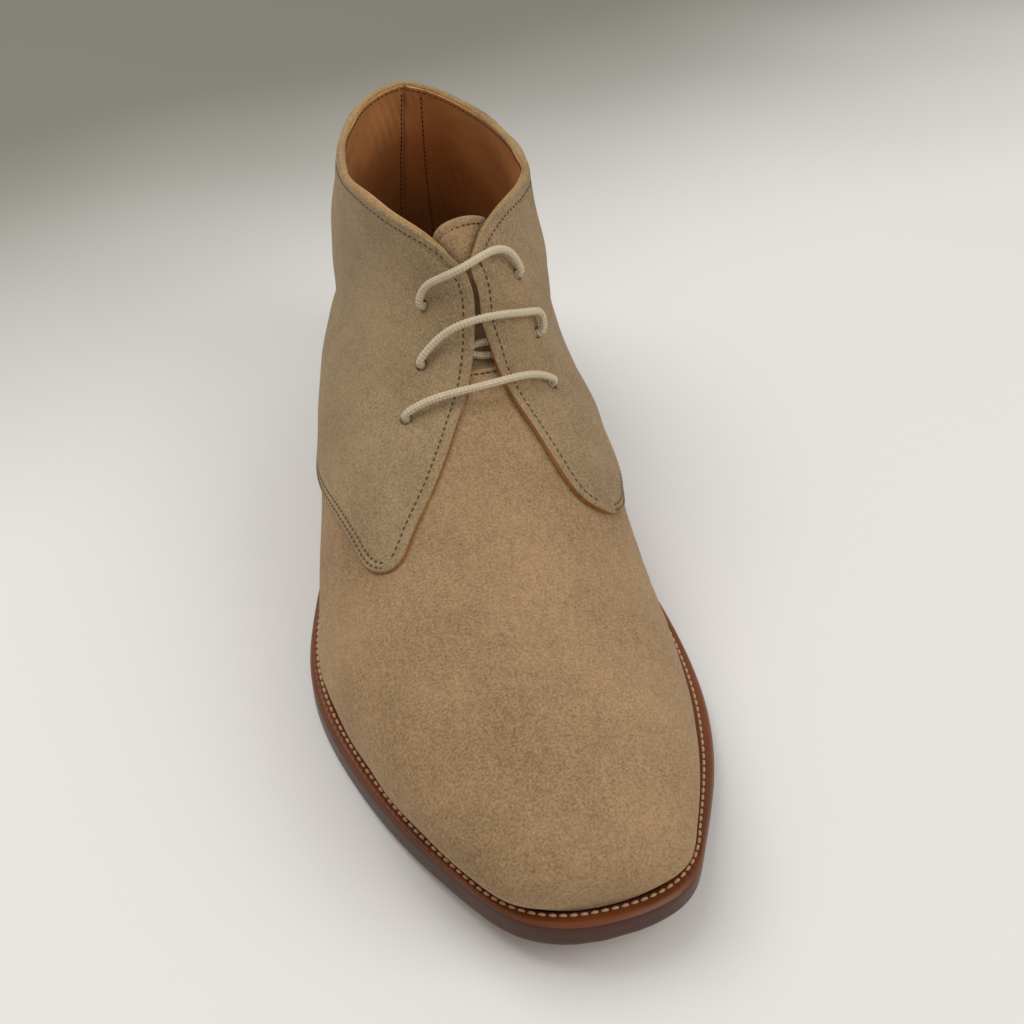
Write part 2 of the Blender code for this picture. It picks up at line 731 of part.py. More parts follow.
def make_lace(finish):
    """Three crossings joined by the lace's hidden runs. One strand goes from
    the lowest crossing to the middle one, and the other to the top one."""
    first = run_points([(0.800, 0.400), (0.772, 0.402)])
    first += hole_points(1, "inner")[::-1] + bar_points(1) + hole_points(1, "outer")
    first += run_points(INNER_RUN)
    first += hole_points(0, "inner")[::-1] + bar_points(0) + hole_points(0, "outer")
    second = hole_points(0, "outer")[1:]
    second += run_points(OUTER_RUN)
    second += hole_points(2, "inner")[::-1] + bar_points(2) + hole_points(2, "outer")
    second += run_points([(0.895, 0.595)])
    lace = tube("lace", first, 48, finish)
    boolean(lace, tube("strand", second, 34, finish), "UNION")
    return lace


def clear_scene():
    """Remove what the file opened with."""
    for piece in list(bpy.data.objects):
        bpy.data.objects.remove(piece, do_unlink=True)


def main():
    clear_scene()
    rows = sections()
    u, at = foot_steps(rows)
    widths = wall(at)
    ring_widths = np.concatenate((widths, widths[-2:0:-1]))
    suede = material("suede", (0.31, 0.22, 0.12), 0.95)
    sole_leather = material("sole_leather", (0.22, 0.09, 0.03), 0.45)
    edge_leather = material("edge_leather", (0.12, 0.05, 0.03), 0.40)
    rubber = material("rubber", (0.01, 0.009, 0.009), 0.55)
    sock = material("sock", (0.30, 0.16, 0.07), 0.60)
    cotton = material("cotton", (0.60, 0.50, 0.36), 0.80)
    make_outsole(u, sole_leather)
    make_welt(u, ring_widths, edge_leather)
    make_insole(u, ring_widths, sock)
    make_heel(rubber, sole_leather)
    make_upper(rows, suede)
    make_tongue(suede)
    make_lace(cotton)


main()
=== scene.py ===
"""Chukka boot, left: suede uppers on a welted leather sole, finished for a picture.

Every piece of the upper follows one surface, the last. A section of the last runs
from the inner foot line over the ridge to the outer foot line, in a plane that tips
back from the toe to the collar as the share s goes from 0 to 1. Across a section the
share a goes from 0 to 1, and 0.5 is the ridge. The sole's pieces are rings that
follow the sole's outline, u going from 0 at the toe to 1 at the heel."""

import math

import bmesh
import bpy
import numpy as np
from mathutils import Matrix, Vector


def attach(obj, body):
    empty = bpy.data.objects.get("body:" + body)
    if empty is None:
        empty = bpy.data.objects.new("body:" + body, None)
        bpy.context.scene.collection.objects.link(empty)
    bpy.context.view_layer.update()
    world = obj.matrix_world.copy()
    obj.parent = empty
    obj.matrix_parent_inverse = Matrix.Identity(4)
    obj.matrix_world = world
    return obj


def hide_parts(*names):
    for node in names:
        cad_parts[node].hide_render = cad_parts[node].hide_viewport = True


bl_info = {
    "name": "Chukka boot",
    "version": (1, 0, 0),
    "blender": (4, 5, 0),
    "location": "View3D > Sidebar > Chukka",
    "description": "Builds the finished surfaces of a left chukka boot round its packed solids",
    "category": "Object",
}

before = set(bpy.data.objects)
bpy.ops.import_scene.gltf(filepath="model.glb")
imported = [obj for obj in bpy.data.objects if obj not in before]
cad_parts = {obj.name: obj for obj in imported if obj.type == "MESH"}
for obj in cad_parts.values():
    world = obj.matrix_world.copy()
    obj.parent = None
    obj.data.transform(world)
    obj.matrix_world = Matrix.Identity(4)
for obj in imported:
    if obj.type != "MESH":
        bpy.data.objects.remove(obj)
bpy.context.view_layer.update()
BODY = "root"


# ---------------------------------------------------------------- sizes and tables

LENGTH = 0.300
BALL_WIDTH = 0.112
OUTSOLE = 0.005
WELT = 0.0035
INSOLE = 0.003
TOE_SPRING = 0.010
HEEL_HEIGHT = 0.024
TOP_PIECE = 0.006
HEEL_TAPER = 0.0022
HEEL_LIFTS = 3
BREAST_CURVE = 0.005
EDGE_TOE = 0.0050
EDGE_BALL = 0.0045
EDGE_WAIST = 0.0020
EDGE_HEEL = 0.0030
BACK_HEIGHT = 0.112
VAMP_WALL = 0.0022
LINING = 0.0012
QUARTER = 0.0015
FLARE_LEAST = 0.0020
GAP = 0.0003
FLAT_FROM = 0.30
FLAT_TO = 0.40
SEAT_FROM = 0.72
BREAST = 0.76
RUBBER_FROM = 0.90

# Outline of the sole: place along it from the toe, its middle, its half width
OUTLINE = np.array((
    (0.013, 0.051, 0.160), (0.057, 0.049, 0.269), (0.133, 0.042, 0.375),
    (0.233, 0.026, 0.465), (0.350, 0.000, 0.496), (0.483, 0.012, 0.430),
    (0.617, 0.029, 0.320), (0.750, 0.042, 0.292), (0.883, 0.070, 0.285),
    (0.967, 0.085, 0.196),
))
TOE_BLUNT = 0.78
HEEL_BLUNT = 0.62
TOE_MIDDLE = 0.034
HEEL_MIDDLE = 0.082

# The last, in equal steps of s: ridge's place, height and side, ground, half
# width, height of the widest place, squareness
LAST_COLUMNS = ("ridge_along", "ridge_high", "ridge_side", "ground", "wide", "low", "square")
LAST = np.array((
    (0.015, 0.272, 0.034, 0.12, 0.200, 0.45, 2.30),
    (0.057, 0.368, 0.000, 0.22, 0.300, 0.33, 2.32),
    (0.143, 0.437, -0.038, 0.31, 0.395, 0.20, 2.20),
    (0.244, 0.482, -0.046, 0.39, 0.450, 0.17, 2.10),
    (0.326, 0.530, -0.015, 0.47, 0.440, 0.22, 2.10),
    (0.405, 0.589, 0.018, 0.56, 0.403, 0.30, 2.09),
    (0.483, 0.669, 0.038, 0.70, 0.353, 0.31, 2.06),
    (0.517, 0.764, 0.076, 0.95, 0.313, 0.28, 2.18),
    (0.542, 0.853, 0.092, 1.45, 0.284, 0.36, 1.85),
    (0.560, 0.927, 0.066, 2.00, 0.258, 0.54, 1.45),
))
# How far the forefoot's inner and outer sides are drawn in over the welt, at u
DRAWN = np.array((
    (0.00, 0.0000, 0.0000), (0.08, 0.0002, 0.0012), (0.17, 0.0004, 0.0026),
    (0.28, 0.0005, 0.0026), (0.36, 0.0006, 0.0018), (0.45, 0.0008, 0.0008),
    (0.56, 0.0000, 0.0000), (1.00, 0.0000, 0.0000),
))
# Soft dents and swells of the shaft: s, a, their widths and the depth
SHAPING = (
    (0.80, 0.13, 0.06, 0.09, -0.0036),
    (0.88, 0.71, 0.07, 0.08, 0.0020),
)
# How far s rises at the collar: a and the rise
RISEN = np.array((
    (0.000, -0.004), (0.100, -0.007), (0.200, -0.006), (0.270, 0.010), (0.330, 0.030),
    (0.390, 0.039), (0.440, 0.045), (0.465, 0.034), (0.485, 0.006), (0.500, 0.000),
    (0.510, 0.008), (0.530, 0.036), (0.560, 0.050), (0.600, 0.045), (0.650, 0.028),
    (0.700, 0.006), (0.740, -0.006), (0.800, -0.012), (0.880, -0.013), (1.000, -0.004),
))
RISEN_FROM = 0.93
# How far the welt's stitches run outside the foot line: u, inner and outer side
SEAM = np.array((
    (0.00, 0.0012, 0.0012), (0.10, 0.0015, 0.0019), (0.15, 0.0018, 0.0032),
    (0.30, 0.0019, 0.0031), (0.37, 0.0020, 0.0031), (0.46, 0.0020, 0.0018),
    (0.58, 0.0008, 0.0008), (1.00, 0.0008, 0.0008),
))
BACK = np.array(((0.0, 0.0), (0.25, -0.004), (0.5, 0.006), (0.75, 0.027), (1.0, 0.048)))

# Edge of each quarter from the collar round its tip to the waist: s, and how far
# a is from the ridge
INNER_FLAP = np.array((
    (1.000, 0.024), (0.980, 0.013), (0.950, 0.011), (0.900, 0.014), (0.830, 0.016),
    (0.740, 0.010), (0.688, 0.017), (0.656, 0.033), (0.609, 0.060), (0.535, 0.110),
    (0.490, 0.139), (0.480, 0.166), (0.495, 0.206), (0.554, 0.259), (0.593, 0.337),
    (0.636, 0.500),
))
OUTER_FLAP = np.array((
    (1.000, 0.006), (0.980, 0.000), (0.937, -0.004), (0.878, -0.006), (0.830, -0.002),
    (0.792, 0.012), (0.747, 0.030), (0.690, 0.054), (0.631, 0.082), (0.556, 0.128),
    (0.522, 0.176), (0.513, 0.230), (0.528, 0.285), (0.570, 0.350), (0.610, 0.430),
    (0.636, 0.500),
))
VAMP_END = 0.735
# Half opening of the lining's slit at the throat, and half width of the tongue: s, a
THROAT = np.array(((0.722, 0.000), (0.728, 0.020), (0.735, 0.038), (0.760, 0.034), (1.000, 0.032)))
TONGUE_SHAPE = np.array(((0.60, 0.060), (0.66, 0.085), (0.80, 0.098), (0.95, 0.090), (1.12, 0.066)))
TONGUE_RISE = 0.0120
TONGUE_PAD = 0.0018
TONGUE_TOP = 1 + TONGUE_RISE / 0.090
LOW_ROWS = (0.0011, 0.0027)  # the two rows in from a quarter's lower edge
SLIT_HAIR = 0.0001  # share of a that parts the lining's two walls
BREAST_Y = LENGTH * (BREAST - 0.5)
CHANNEL = 0.0068  # the sewn channel's way in from the sole's edge
NAIL_SIDES = 20

# Lace holes from the vamp up: inner s and a, outer s and a
EYELETS = np.array((
    (0.662, 0.387, 0.678, 0.647),
    (0.745, 0.405, 0.774, 0.627),
    (0.863, 0.400, 0.912, 0.576),
))
# Crossings: row of holes, share of the way, rise of s over the holes, layers high
BARS = (
    (0, 0.08, 0.007, 1.35), (0, 0.25, 0.019, 1.45), (0, 0.50, 0.026, 1.40),
    (0, 0.76, 0.024, 1.45), (0, 0.92, 0.009, 1.35), (1, 0.07, 0.030, 1.35),
    (1, 0.25, 0.072, 1.55), (1, 0.50, 0.085, 1.60), (1, 0.76, 0.067, 1.50),
    (1, 0.93, 0.034, 1.35), (2, 0.07, 0.024, 1.40), (2, 0.28, 0.062, 1.80),
    (2, 0.55, 0.104, 2.00), (2, 0.78, 0.088, 1.90), (2, 0.93, 0.036, 1.50),
)
# Places on the last that the two hidden runs pass: s and a
INNER_RUN = ((0.780, 0.560), (0.790, 0.500), (0.762, 0.445), (0.710, 0.410))
OUTER_RUN = ((0.720, 0.610), (0.757, 0.545), (0.768, 0.490), (0.800, 0.440), (0.835, 0.415))


def measure(label, about, value):
    """A length in metres for the panel."""
    return bpy.props.FloatProperty(name=label, description=about, default=value, unit="LENGTH")


def tint(label, about, value):
    """A colour for the panel, as linear red, green and blue."""
    return bpy.props.FloatVectorProperty(name=label, description=about, default=value, subtype="COLOR")


class ChukkaSizes(bpy.types.PropertyGroup):
    """Sizes of the finish."""

    lace: measure("Lace", "Diameter of the round lace", 0.0023)
    eyelet: measure("Lace hole", "Diameter of a punched lace hole", 0.0040)
    stitch: measure("Stitch", "Pitch of the upper's stitching", 0.0021)
    thread: measure("Thread", "Width of the upper's thread", 0.00052)
    welt_stitch: measure("Welt stitch", "Pitch of the welt's stitching", 0.0026)
    welt_thread: measure("Welt thread", "Width of the welt's thread", 0.00098)
    nap: measure("Nap", "Depth of the suede's nap", 0.00035)
    front_row: measure("Front row", "Stitch row's distance from a quarter's front", 0.0030)


class ChukkaColours(bpy.types.PropertyGroup):
    """Colours of the finish."""

    vamp: tint("Vamp", "Suede of the vamp and tongue", (0.330, 0.212, 0.112))
    quarter: tint("Inner quarter", "Suede of the inner quarter", (0.302, 0.212, 0.117))
    outer: tint("Outer quarter", "Suede of the outer quarter", (0.304, 0.208, 0.114))
    cut: tint("Cut edge", "Raw edge of the suede", (0.33, 0.13, 0.035))
    lining: tint("Lining", "Leather lining", (0.66, 0.310, 0.110))
    welt: tint("Welt", "Top of the welt", (0.165, 0.045, 0.010))
    edge: tint("Sole edge", "Polished edge of the sole", (0.060, 0.0185, 0.0075))
    sole: tint("Sole", "Leather under the sole", (0.30, 0.115, 0.030))
    rubber: tint("Rubber", "Back of the heel's lowest piece", (0.012, 0.011, 0.011))
    lace: tint("Lace", "Waxed cotton", (0.60, 0.50, 0.345))
    thread: tint("Thread", "Stitching of the upper", (0.075, 0.038, 0.018))
    welt_thread: tint("Welt thread", "Stitching of the welt", (0.60, 0.36, 0.22))


# ---------------------------------------------------------------- the last


def spline(knots, values, at):
    """Natural cubic spline through values at knots, read at any places."""
    x, y, at = (np.asarray(v, float) for v in (knots, values, at))
    step = np.diff(x)
    slope = np.diff(y) / step
    count = len(x)
    matrix = np.eye(count)
    inside = np.arange(1, count - 1)
    matrix[inside, inside - 1] = step[:-1]
    matrix[inside, inside] = 2 * (step[:-1] + step[1:])
    matrix[inside, inside + 1] = step[1:]
    right = np.zeros(count)
    right[1:-1] = 6 * np.diff(slope)
    bend = np.linalg.solve(matrix, right)
    i = np.clip(np.searchsorted(x, at) - 1, 0, count - 2)
    t, h = at - x[i], step[i]
    cubic = t * (slope[i] - h * (2 * bend[i] + bend[i + 1]) / 6)
    return y[i] + cubic + t**2 * bend[i] / 2 + t**3 * (bend[i + 1] - bend[i]) / (6 * h)


def turn(along):
    """Share of the half turn at which a round-ended outline is that far along."""
    return np.arccos(1 - 2 * np.asarray(along, float)) / np.pi


def middle(u):
    """Sideways place of the sole's middle line: a spline through the outline's table."""
    knots = turn(np.r_[0, OUTLINE[:, 0], 1])
    return BALL_WIDTH * spline(knots, np.r_[TOE_MIDDLE, OUTLINE[:, 1], HEEL_MIDDLE], u)


def half(u):
    """Half width of the sole: a spline of width per sine of the turn, times that sine."""
    knots = turn(OUTLINE[:, 0])
    widths = np.r_[TOE_BLUNT, OUTLINE[:, 2] / np.sin(np.pi * knots), HEEL_BLUNT]
    return BALL_WIDTH * spline(np.r_[0, knots, 1], widths, u) * np.sin(np.pi * np.asarray(u))


def edge(u):
    """Width of the sole's edge beyond the upper."""
    return spline((0, 0.40, 0.62, 1), (EDGE_TOE, EDGE_BALL, EDGE_WAIST, EDGE_HEEL), u)


def foot_y(u):
    """Place along the shoe of the line where the upper meets the welt."""
    start = -LENGTH / 2 + EDGE_TOE
    return start + (LENGTH - EDGE_TOE - EDGE_HEEL) * (1 - np.cos(np.pi * u)) / 2


def foot_half(u):
    """Half width of the upper where it meets the welt."""
    return half(u) - edge(u) * np.sin(np.pi * u) ** 2


def smooth(share):
    """A smooth step from 0 at 0 to 1 at 1."""
    share = np.clip(share, 0, 1)
    return share * share * (3 - 2 * share)


def drawn(u, side):
    """How far one side of the forefoot, -1 inner or 1 outer, is drawn in at u."""
    return sided(DRAWN, u, side)


def sided(table, u, side):
    """A table's inner or outer column read at u, for side -1 or 1."""
    inner, outer = (np.interp(u, table[:, 0], table[:, i]) for i in (1, 2))
    return np.where(np.asarray(side) < 0, inner, outer)


def tread(y):
    """Height of the underside: a parabola of toe spring, the flat tread, a smooth
    step up the shank and the level seat."""
    along = y / LENGTH + 0.5
    spring = np.clip(1 - along / FLAT_FROM, 0, None)
    return TOE_SPRING * spring**2 + HEEL_HEIGHT * smooth((along - FLAT_TO) / (SEAT_FROM - FLAT_TO))


def seat(y):
    """Height of the upper's bottom edge, on the welt."""
    return tread(y) + OUTSOLE + WELT + 2 * GAP


def read_last(name, s):
    """A column of the last's table at s. The first section is the toe tip."""
    tip = {
        "ridge_along": EDGE_TOE / LENGTH,
        "ridge_high": seat(foot_y(0)) / BACK_HEIGHT,
        "ridge_side": TOE_MIDDLE,
        "ground": 0,
        "wide": 0,
        "low": 0.5,
        "square": 2.2,
    }
    values = np.r_[tip[name], LAST[:, LAST_COLUMNS.index(name)]]
    return spline(np.linspace(0, 1, len(values)), values, s)


def last(s, a):
    """Points of the last. Above its widest place a section is a squared half
    ellipse, and below it an ellipse's flank that turns in to the foot line, or to
    the back seam, where both sides meet."""
    s, a = np.broadcast_arrays(np.asarray(s, float), np.asarray(a, float))
    ground = read_last("ground", s)
    u = np.clip(ground, 0, 1)
    up = np.clip(ground - 1, 0, None)
    top_y = LENGTH * (read_last("ridge_along", s) - 0.5)
    top_z = BACK_HEIGHT * read_last("ridge_high", s)
    top_x = BALL_WIDTH * read_last("ridge_side", s)
    forward = spline(BACK[:, 0], BACK[:, 1], up)
    heel_z = seat(foot_y(1))
    low_y = foot_y(u) - LENGTH * forward
    low_z = np.where(up > 0, heel_z + up * (BACK_HEIGHT - heel_z), seat(foot_y(u)))
    low_x = middle(u)
    foot = np.where(ground < 1, np.clip(foot_half(u), 0, None), 0)
    over = BALL_WIDTH * read_last("wide", s) - foot
    width = foot + (over + np.hypot(over, FLARE_LEAST * np.clip(10 * s, 0, 1))) / 2
    height = np.hypot(top_y - low_y, top_z - low_z)
    low = read_last("low", s) * height
    high = height - low
    flare = np.maximum(np.arccos(np.clip(foot / np.maximum(width, 1e-9), 0, 1)), 1e-4)
    upper = np.hypot(width, high) * 1.11
    lower = np.hypot(width - foot, low) * (1 + 0.11 * np.sin(flare))
    share = upper / np.maximum(upper + lower, 1e-9)
    across = np.abs(2 * a - 1)
    angle = np.clip(1 - across / np.maximum(share, 1e-6), 0, 1) * np.pi / 2
    down = np.clip((across - share) / np.maximum(1 - share, 1e-6), 0, 1) * flare
    square = read_last("square", s)
    cosine, sine = np.cos(angle), np.sin(angle)
    stretch = (cosine**square + sine**square) ** (-1 / square)
    above = across <= share
    out = np.where(above, cosine * stretch, np.cos(down)) * width
    lift = np.where(above, low + high * sine * stretch, low * (1 - np.sin(down) / np.sin(flare)))
    out = out * (1 - drawn(u, 2 * a - 1) / np.maximum(width, 0.01))
    share_up = lift / np.maximum(height, 1e-9)
    x = low_x + (top_x - low_x) * share_up + np.sign(2 * a - 1) * out
    y = low_y + (top_y - low_y) * share_up
    z = low_z + (top_z - low_z) * share_up
    return np.stack((x, y, z), axis=-1)


def reach(s, a):
    """Points of the last, carried on straight above the collar."""
    over = np.clip(np.asarray(s, float) - 1, 0, None)[..., None]
    top = last(np.minimum(s, 1), a)
    return top + over * (top - last(np.minimum(s, 1) - 0.01, a)) / 0.01


def unit(vectors):
    """Vectors at length one."""
    return vectors / np.maximum(np.linalg.norm(vectors, axis=-1, keepdims=True), 1e-12)


def normals(s, a):
    """Outward normals: the cross product of the slopes across and along. They lie
    flat along the foot line, and in the middle plane down the back seam."""
    s, a = np.broadcast_arrays(np.asarray(s, float), np.asarray(a, float))
    step = 0.001
    at = np.clip(s, 0.02, 1)
    along = last(np.clip(at + step, 0, 1), a) - last(at - step, a)
    across = last(at, np.clip(a + step, 0, 1)) - last(at, np.clip(a - step, 0, 1))
    normal = np.cross(across, along)
    end = (a <= 0) | (a >= 1)
    ground = read_last("ground", np.minimum(s, 1))
    normal[..., 2] = np.where(end & (ground < 1.001), 0, normal[..., 2])
    normal[..., 0] = np.where(end & (ground > 0.999), 0, normal[..., 0])
    normal[s <= 0] = (0, -1, 0)
    return unit(normal)


def skin(s, a, lift, risen=True):
    """Points of the last moved out along its normals by lift, with its soft dents
    and swells. Risen, the sections near the collar follow the collar's own line."""
    s, a = np.broadcast_arrays(np.asarray(s, float), np.asarray(a, float))
    if risen:
        share = np.clip((s - RISEN_FROM) / (1 - RISEN_FROM), 0, None)
        s = s + share * spline(RISEN[:, 0], RISEN[:, 1], a)
    lift = np.broadcast_to(np.asarray(lift, float), s.shape).copy()
    for at_s, at_a, wide_s, wide_a, depth in SHAPING:
        lift += depth * np.exp(-(((s - at_s) / wide_s) ** 2) - ((a - at_a) / wide_a) ** 2)
    return reach(s, a) + lift[..., None] * normals(s, a)


def wall(s):
    """Wall under the last: vamp and lining, thinning to the lining at the shaft."""
    return VAMP_WALL + (LINING - VAMP_WALL) * smooth((np.asarray(s, float) - 0.45) / 0.20)


def heel_share():
    """The s whose section ends at the heel tip of the foot line."""
    steps = np.linspace(0, 1, 2001)
    return float(np.interp(1.0, read_last("ground", steps), steps))


# ---------------------------------------------------------------- curves and fields


def arc_lengths(points):
    """Length along a line of points, at each point."""
    return np.r_[0, np.cumsum(np.linalg.norm(np.diff(points, axis=0), axis=1))]


def angles(count):
    """Even angles round a circle."""
    return np.linspace(0, 2 * np.pi, count, endpoint=False)


def curve(points, count):
    """Smooth curve through points, read at even steps of its chord length."""
    points = np.asarray(points, float)
    chord = arc_lengths(points)
    at = np.linspace(0, chord[-1], count)
    return np.stack([spline(chord, points[:, i], at) for i in range(points.shape[1])], axis=-1)


def evenly(points, spacing, *others):
    """Points at even arc lengths along a line, and other values read there too."""
    arc = arc_lengths(points)
    at = np.linspace(0, arc[-1], max(2, int(round(arc[-1] / spacing)) + 1))
    read = [
        np.stack([np.interp(at, arc, column) for column in values.T], axis=-1)
        for values in (points, *others)
    ]
    return read if others else read[0]


def distance(points, line):
    """Least distance of each point of a grid from a dense line of points."""
    flat = points.reshape(-1, 3)
    square = (flat**2).sum(1)[:, None] - 2 * flat @ line.T + (line**2).sum(1)[None]
    return np.sqrt(np.clip(square.min(1), 0, None)).reshape(points.shape[:-1])


def ripple(points, length, seed):
    """Soft unevenness between -1 and 1: eight plane waves of about one length,
    in directions and phases drawn from a seed."""
    rng = np.random.default_rng(seed)
    ways = unit(rng.normal(size=(8, 3))) * (2 * np.pi / length) * rng.uniform(0.7, 1.3, (8, 1))
    return np.sin(points @ ways.T + rng.uniform(0, 2 * np.pi, 8)).sum(-1) / 4


def dent(away, middle_of, width):
    """A bell of height one, that far from a line and that wide."""
    return np.exp(-(((away - middle_of) / width) ** 2))


# ---------------------------------------------------------------- meshes


def grid(rows, columns, wrap=False):
    """Faces of a grid of points, row by row. Wrapped, the last column meets the first."""
    corner = np.arange(rows * columns).reshape(rows, columns)
    if wrap:
        corner = np.concatenate((corner, corner[:, :1]), axis=1)
    sides = corner[:-1, :-1], corner[:-1, 1:], corner[1:, 1:], corner[1:, :-1]
    return np.stack([side.ravel() for side in sides], axis=-1)


def placed(name, data):
    """A new object in the scene."""
    thing = bpy.data.objects.new(name, data)
    bpy.context.collection.objects.link(thing)
    return thing


def piece_from(name, points, faces, finishes, kinds=None, tidy=True, crease=50):
    """An object from points and faces. Tidied, its doubles are merged and its
    faces turned outwards. It is smooth but for edges sharper than the crease."""
    mesh = bpy.data.meshes.new(name)
    mesh.from_pydata(np.asarray(points).reshape(-1, 3).tolist(), [], [list(f) for f in faces])
    for finish in finishes:
        mesh.materials.append(finish)
    if kinds is not None:
        mesh.polygons.foreach_set("material_index", np.asarray(kinds, np.int32))
    if tidy:
        work = bmesh.new()
        work.from_mesh(mesh)
        bmesh.ops.remove_doubles(work, verts=work.verts, dist=2e-6)
        bmesh.ops.dissolve_degenerate(work, edges=work.edges, dist=1e-7)
        bmesh.ops.recalc_face_normals(work, faces=work.faces)
        work.to_mesh(mesh)
        work.free()
    mesh.validate()
    mesh.polygons.foreach_set("use_smooth", np.ones(len(mesh.polygons), bool))
    mesh.set_sharp_from_angle(angle=math.radians(crease))
    mesh.update()
    return placed(name, mesh)


def carry(piece, slot, *nodes):
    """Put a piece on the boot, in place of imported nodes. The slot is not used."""
    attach(piece, BODY)
    if nodes:
        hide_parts(*nodes)
    return piece


def shell(name, patches, finishes):
    """Closed wall from patches, each an outer and an inner grid of points. Faces
    are of three kinds: outer, inner, and the rims that close the patches."""
    points, faces, kinds = [], [], []
    for outer, inner in patches:
        start = sum(len(part) for part in points)
        rows, columns = outer.shape[:2]
        count = rows * columns
        face = grid(rows, columns)
        index = np.arange(count).reshape(rows, columns)
        border = np.concatenate((index[0, :-1], index[:-1, -1], index[-1, :0:-1], index[:0:-1, 0]))
        after = np.roll(border, -1)
        rim = np.stack((after, border, border + count, after + count), axis=-1)
        points += [outer.reshape(-1, 3), inner.reshape(-1, 3)]
        faces += [face + start, face[:, ::-1] + start + count, rim + start]
        kinds += [np.zeros(len(face)), np.ones(len(face)), np.full(len(rim), 2)]
    return piece_from(name, np.concatenate(points), np.concatenate(faces), finishes, np.concatenate(kinds))


def tube(name, path, radius, sides, finish, knurl=None):
    """Closed round tube along a dense path: circles in frames that turn as little
    as they can from one point to the next. knurl adds to the radius at each point
    of the grid of points along and turns round."""
    tangent = unit(np.gradient(path, axis=0))
    side = np.empty_like(tangent)
    side[0] = unit(np.cross(tangent[0], (0.3, 0.2, 1.0)))
    for i in range(1, len(path)):
        side[i] = side[i - 1] - tangent[i] * (side[i - 1] @ tangent[i])
        side[i] /= np.linalg.norm(side[i])
    other = np.cross(tangent, side)
    around = angles(sides)
    along = np.arange(len(path))
    size = np.broadcast_to(radius, len(path))[:, None] + (knurl(along[:, None], around[None]) if knurl else 0)
    ring = np.cos(around)[None, :, None] * side[:, None] + np.sin(around)[None, :, None] * other[:, None]
    points = path[:, None] + ring * (size + np.zeros((len(path), sides)))[..., None]
    points = np.concatenate((points.reshape(-1, 3), path[:1], path[-1:]))
    count = len(path) * sides
    turns = np.arange(sides)
    after = (turns + 1) % sides
    first = np.stack((after, turns, np.full(sides, count)), axis=-1)
    final = np.stack((turns, after, np.full(sides, count + 1)), axis=-1)
    final[:, :2] += count - sides
    faces = grid(len(path), sides, wrap=True).tolist() + first.tolist() + final.tolist()
    return piece_from(name, points, faces, [finish], crease=70)


def rings(name, layers, finishes, kinds, caps="across", crease=35):
    """Closed solid through rings of points, first to last. Its caps run across from
    side to side, or are one flat face each, or there is none and the last ring meets
    the first. kinds gives the finish of each band between two rings, and then of the
    first and the last cap."""
    count = len(layers[0])
    here = np.arange(count)
    after = (here + 1) % count
    final = (len(layers) - 1) * count
    faces, kind = [], []
    for i in range(len(layers) - (1 if caps else 0)):
        low, high = i * count, (i + 1) % len(layers) * count
        faces += np.stack((low + here, low + after, high + after, high + here), axis=-1).tolist()
        kind += [kinds[i]] * count
    if caps == "across":
        k = np.arange(count // 2)
        cap = np.stack((k, k + 1, count - k - 1, (count - k) % count), axis=-1)
        faces += cap[:, ::-1].tolist() + (cap + final).tolist()
        kind += [kinds[-2]] * len(k) + [kinds[-1]] * len(k)
    elif caps == "flat":
        faces += [here[::-1].tolist(), (here + final).tolist()]
        kind += [kinds[-2], kinds[-1]]
    faces = [[v for i, v in enumerate(f) if v != f[i - 1]] for f in faces]
    return piece_from(name, np.concatenate(layers), faces, finishes, kind, crease=crease)


def stitches(name, rows, length, width, finish, sink=0.25):
    """Sewn rows: each stitch is a small spindle, round across and rounded at its
    ends, that lies along its row and is partly sunk. A row is points and normals."""
    ends = np.array((-1.0, -0.72, 0.0, 0.72, 1.0))
    fat = np.array((0.25, 0.82, 1.0, 0.82, 0.25))
    around = angles(6)
    centres, ways, ups = [], [], []
    for points, normal in rows:
        centres.append((points[1:] + points[:-1]) / 2)
        ways.append(unit(points[1:] - points[:-1]))
        ups.append(unit((normal[1:] + normal[:-1]) / 2))
    centre, way, up = map(np.concatenate, (centres, ways, ups))
    side = unit(np.cross(way, up))
    up = np.cross(side, way)
    x = (ends * length / 2)[:, None] + 0 * around
    y = (fat * width / 2)[:, None] * np.cos(around)
    z = (fat * width / 2)[:, None] * np.sin(around) + width * (0.5 - sink) - (ends**2)[:, None] * width * 0.45
    local = np.stack((x, y, z), axis=-1).reshape(-1, 3)
    points = centre[:, None] + local[None, :, :1] * way[:, None] + local[None, :, 1:2] * side[:, None]
    points = points + local[None, :, 2:] * up[:, None]
    body = grid(len(ends), len(around), wrap=True)[:, ::-1]
    size = len(local)
    first = np.arange(6)
    block = body.tolist() + [first.tolist(), (first[::-1] + size - 6).tolist()]
    faces = [[v + k * size for v in face] for k in range(len(centre)) for face in block]
    return piece_from(name, points.reshape(-1, 3), faces, [finish], tidy=False, crease=80)


def apply_modifiers(piece):
    """Keep the piece's evaluated mesh and drop its modifiers."""
    view = bpy.context.evaluated_depsgraph_get()
    mesh = bpy.data.meshes.new_from_object(piece.evaluated_get(view))
    piece.modifiers.clear()
    piece.data = mesh


def cut(pieces, cutter):
    """Cut one closed solid out of pieces, and remove the cutter."""
    for piece in pieces:
        change = piece.modifiers.new("cut", "BOOLEAN")
        change.operation = "DIFFERENCE"
        change.object = cutter
        change.solver = "EXACT"
        apply_modifiers(piece)
    bpy.data.objects.remove(cutter)


# ---------------------------------------------------------------- materials


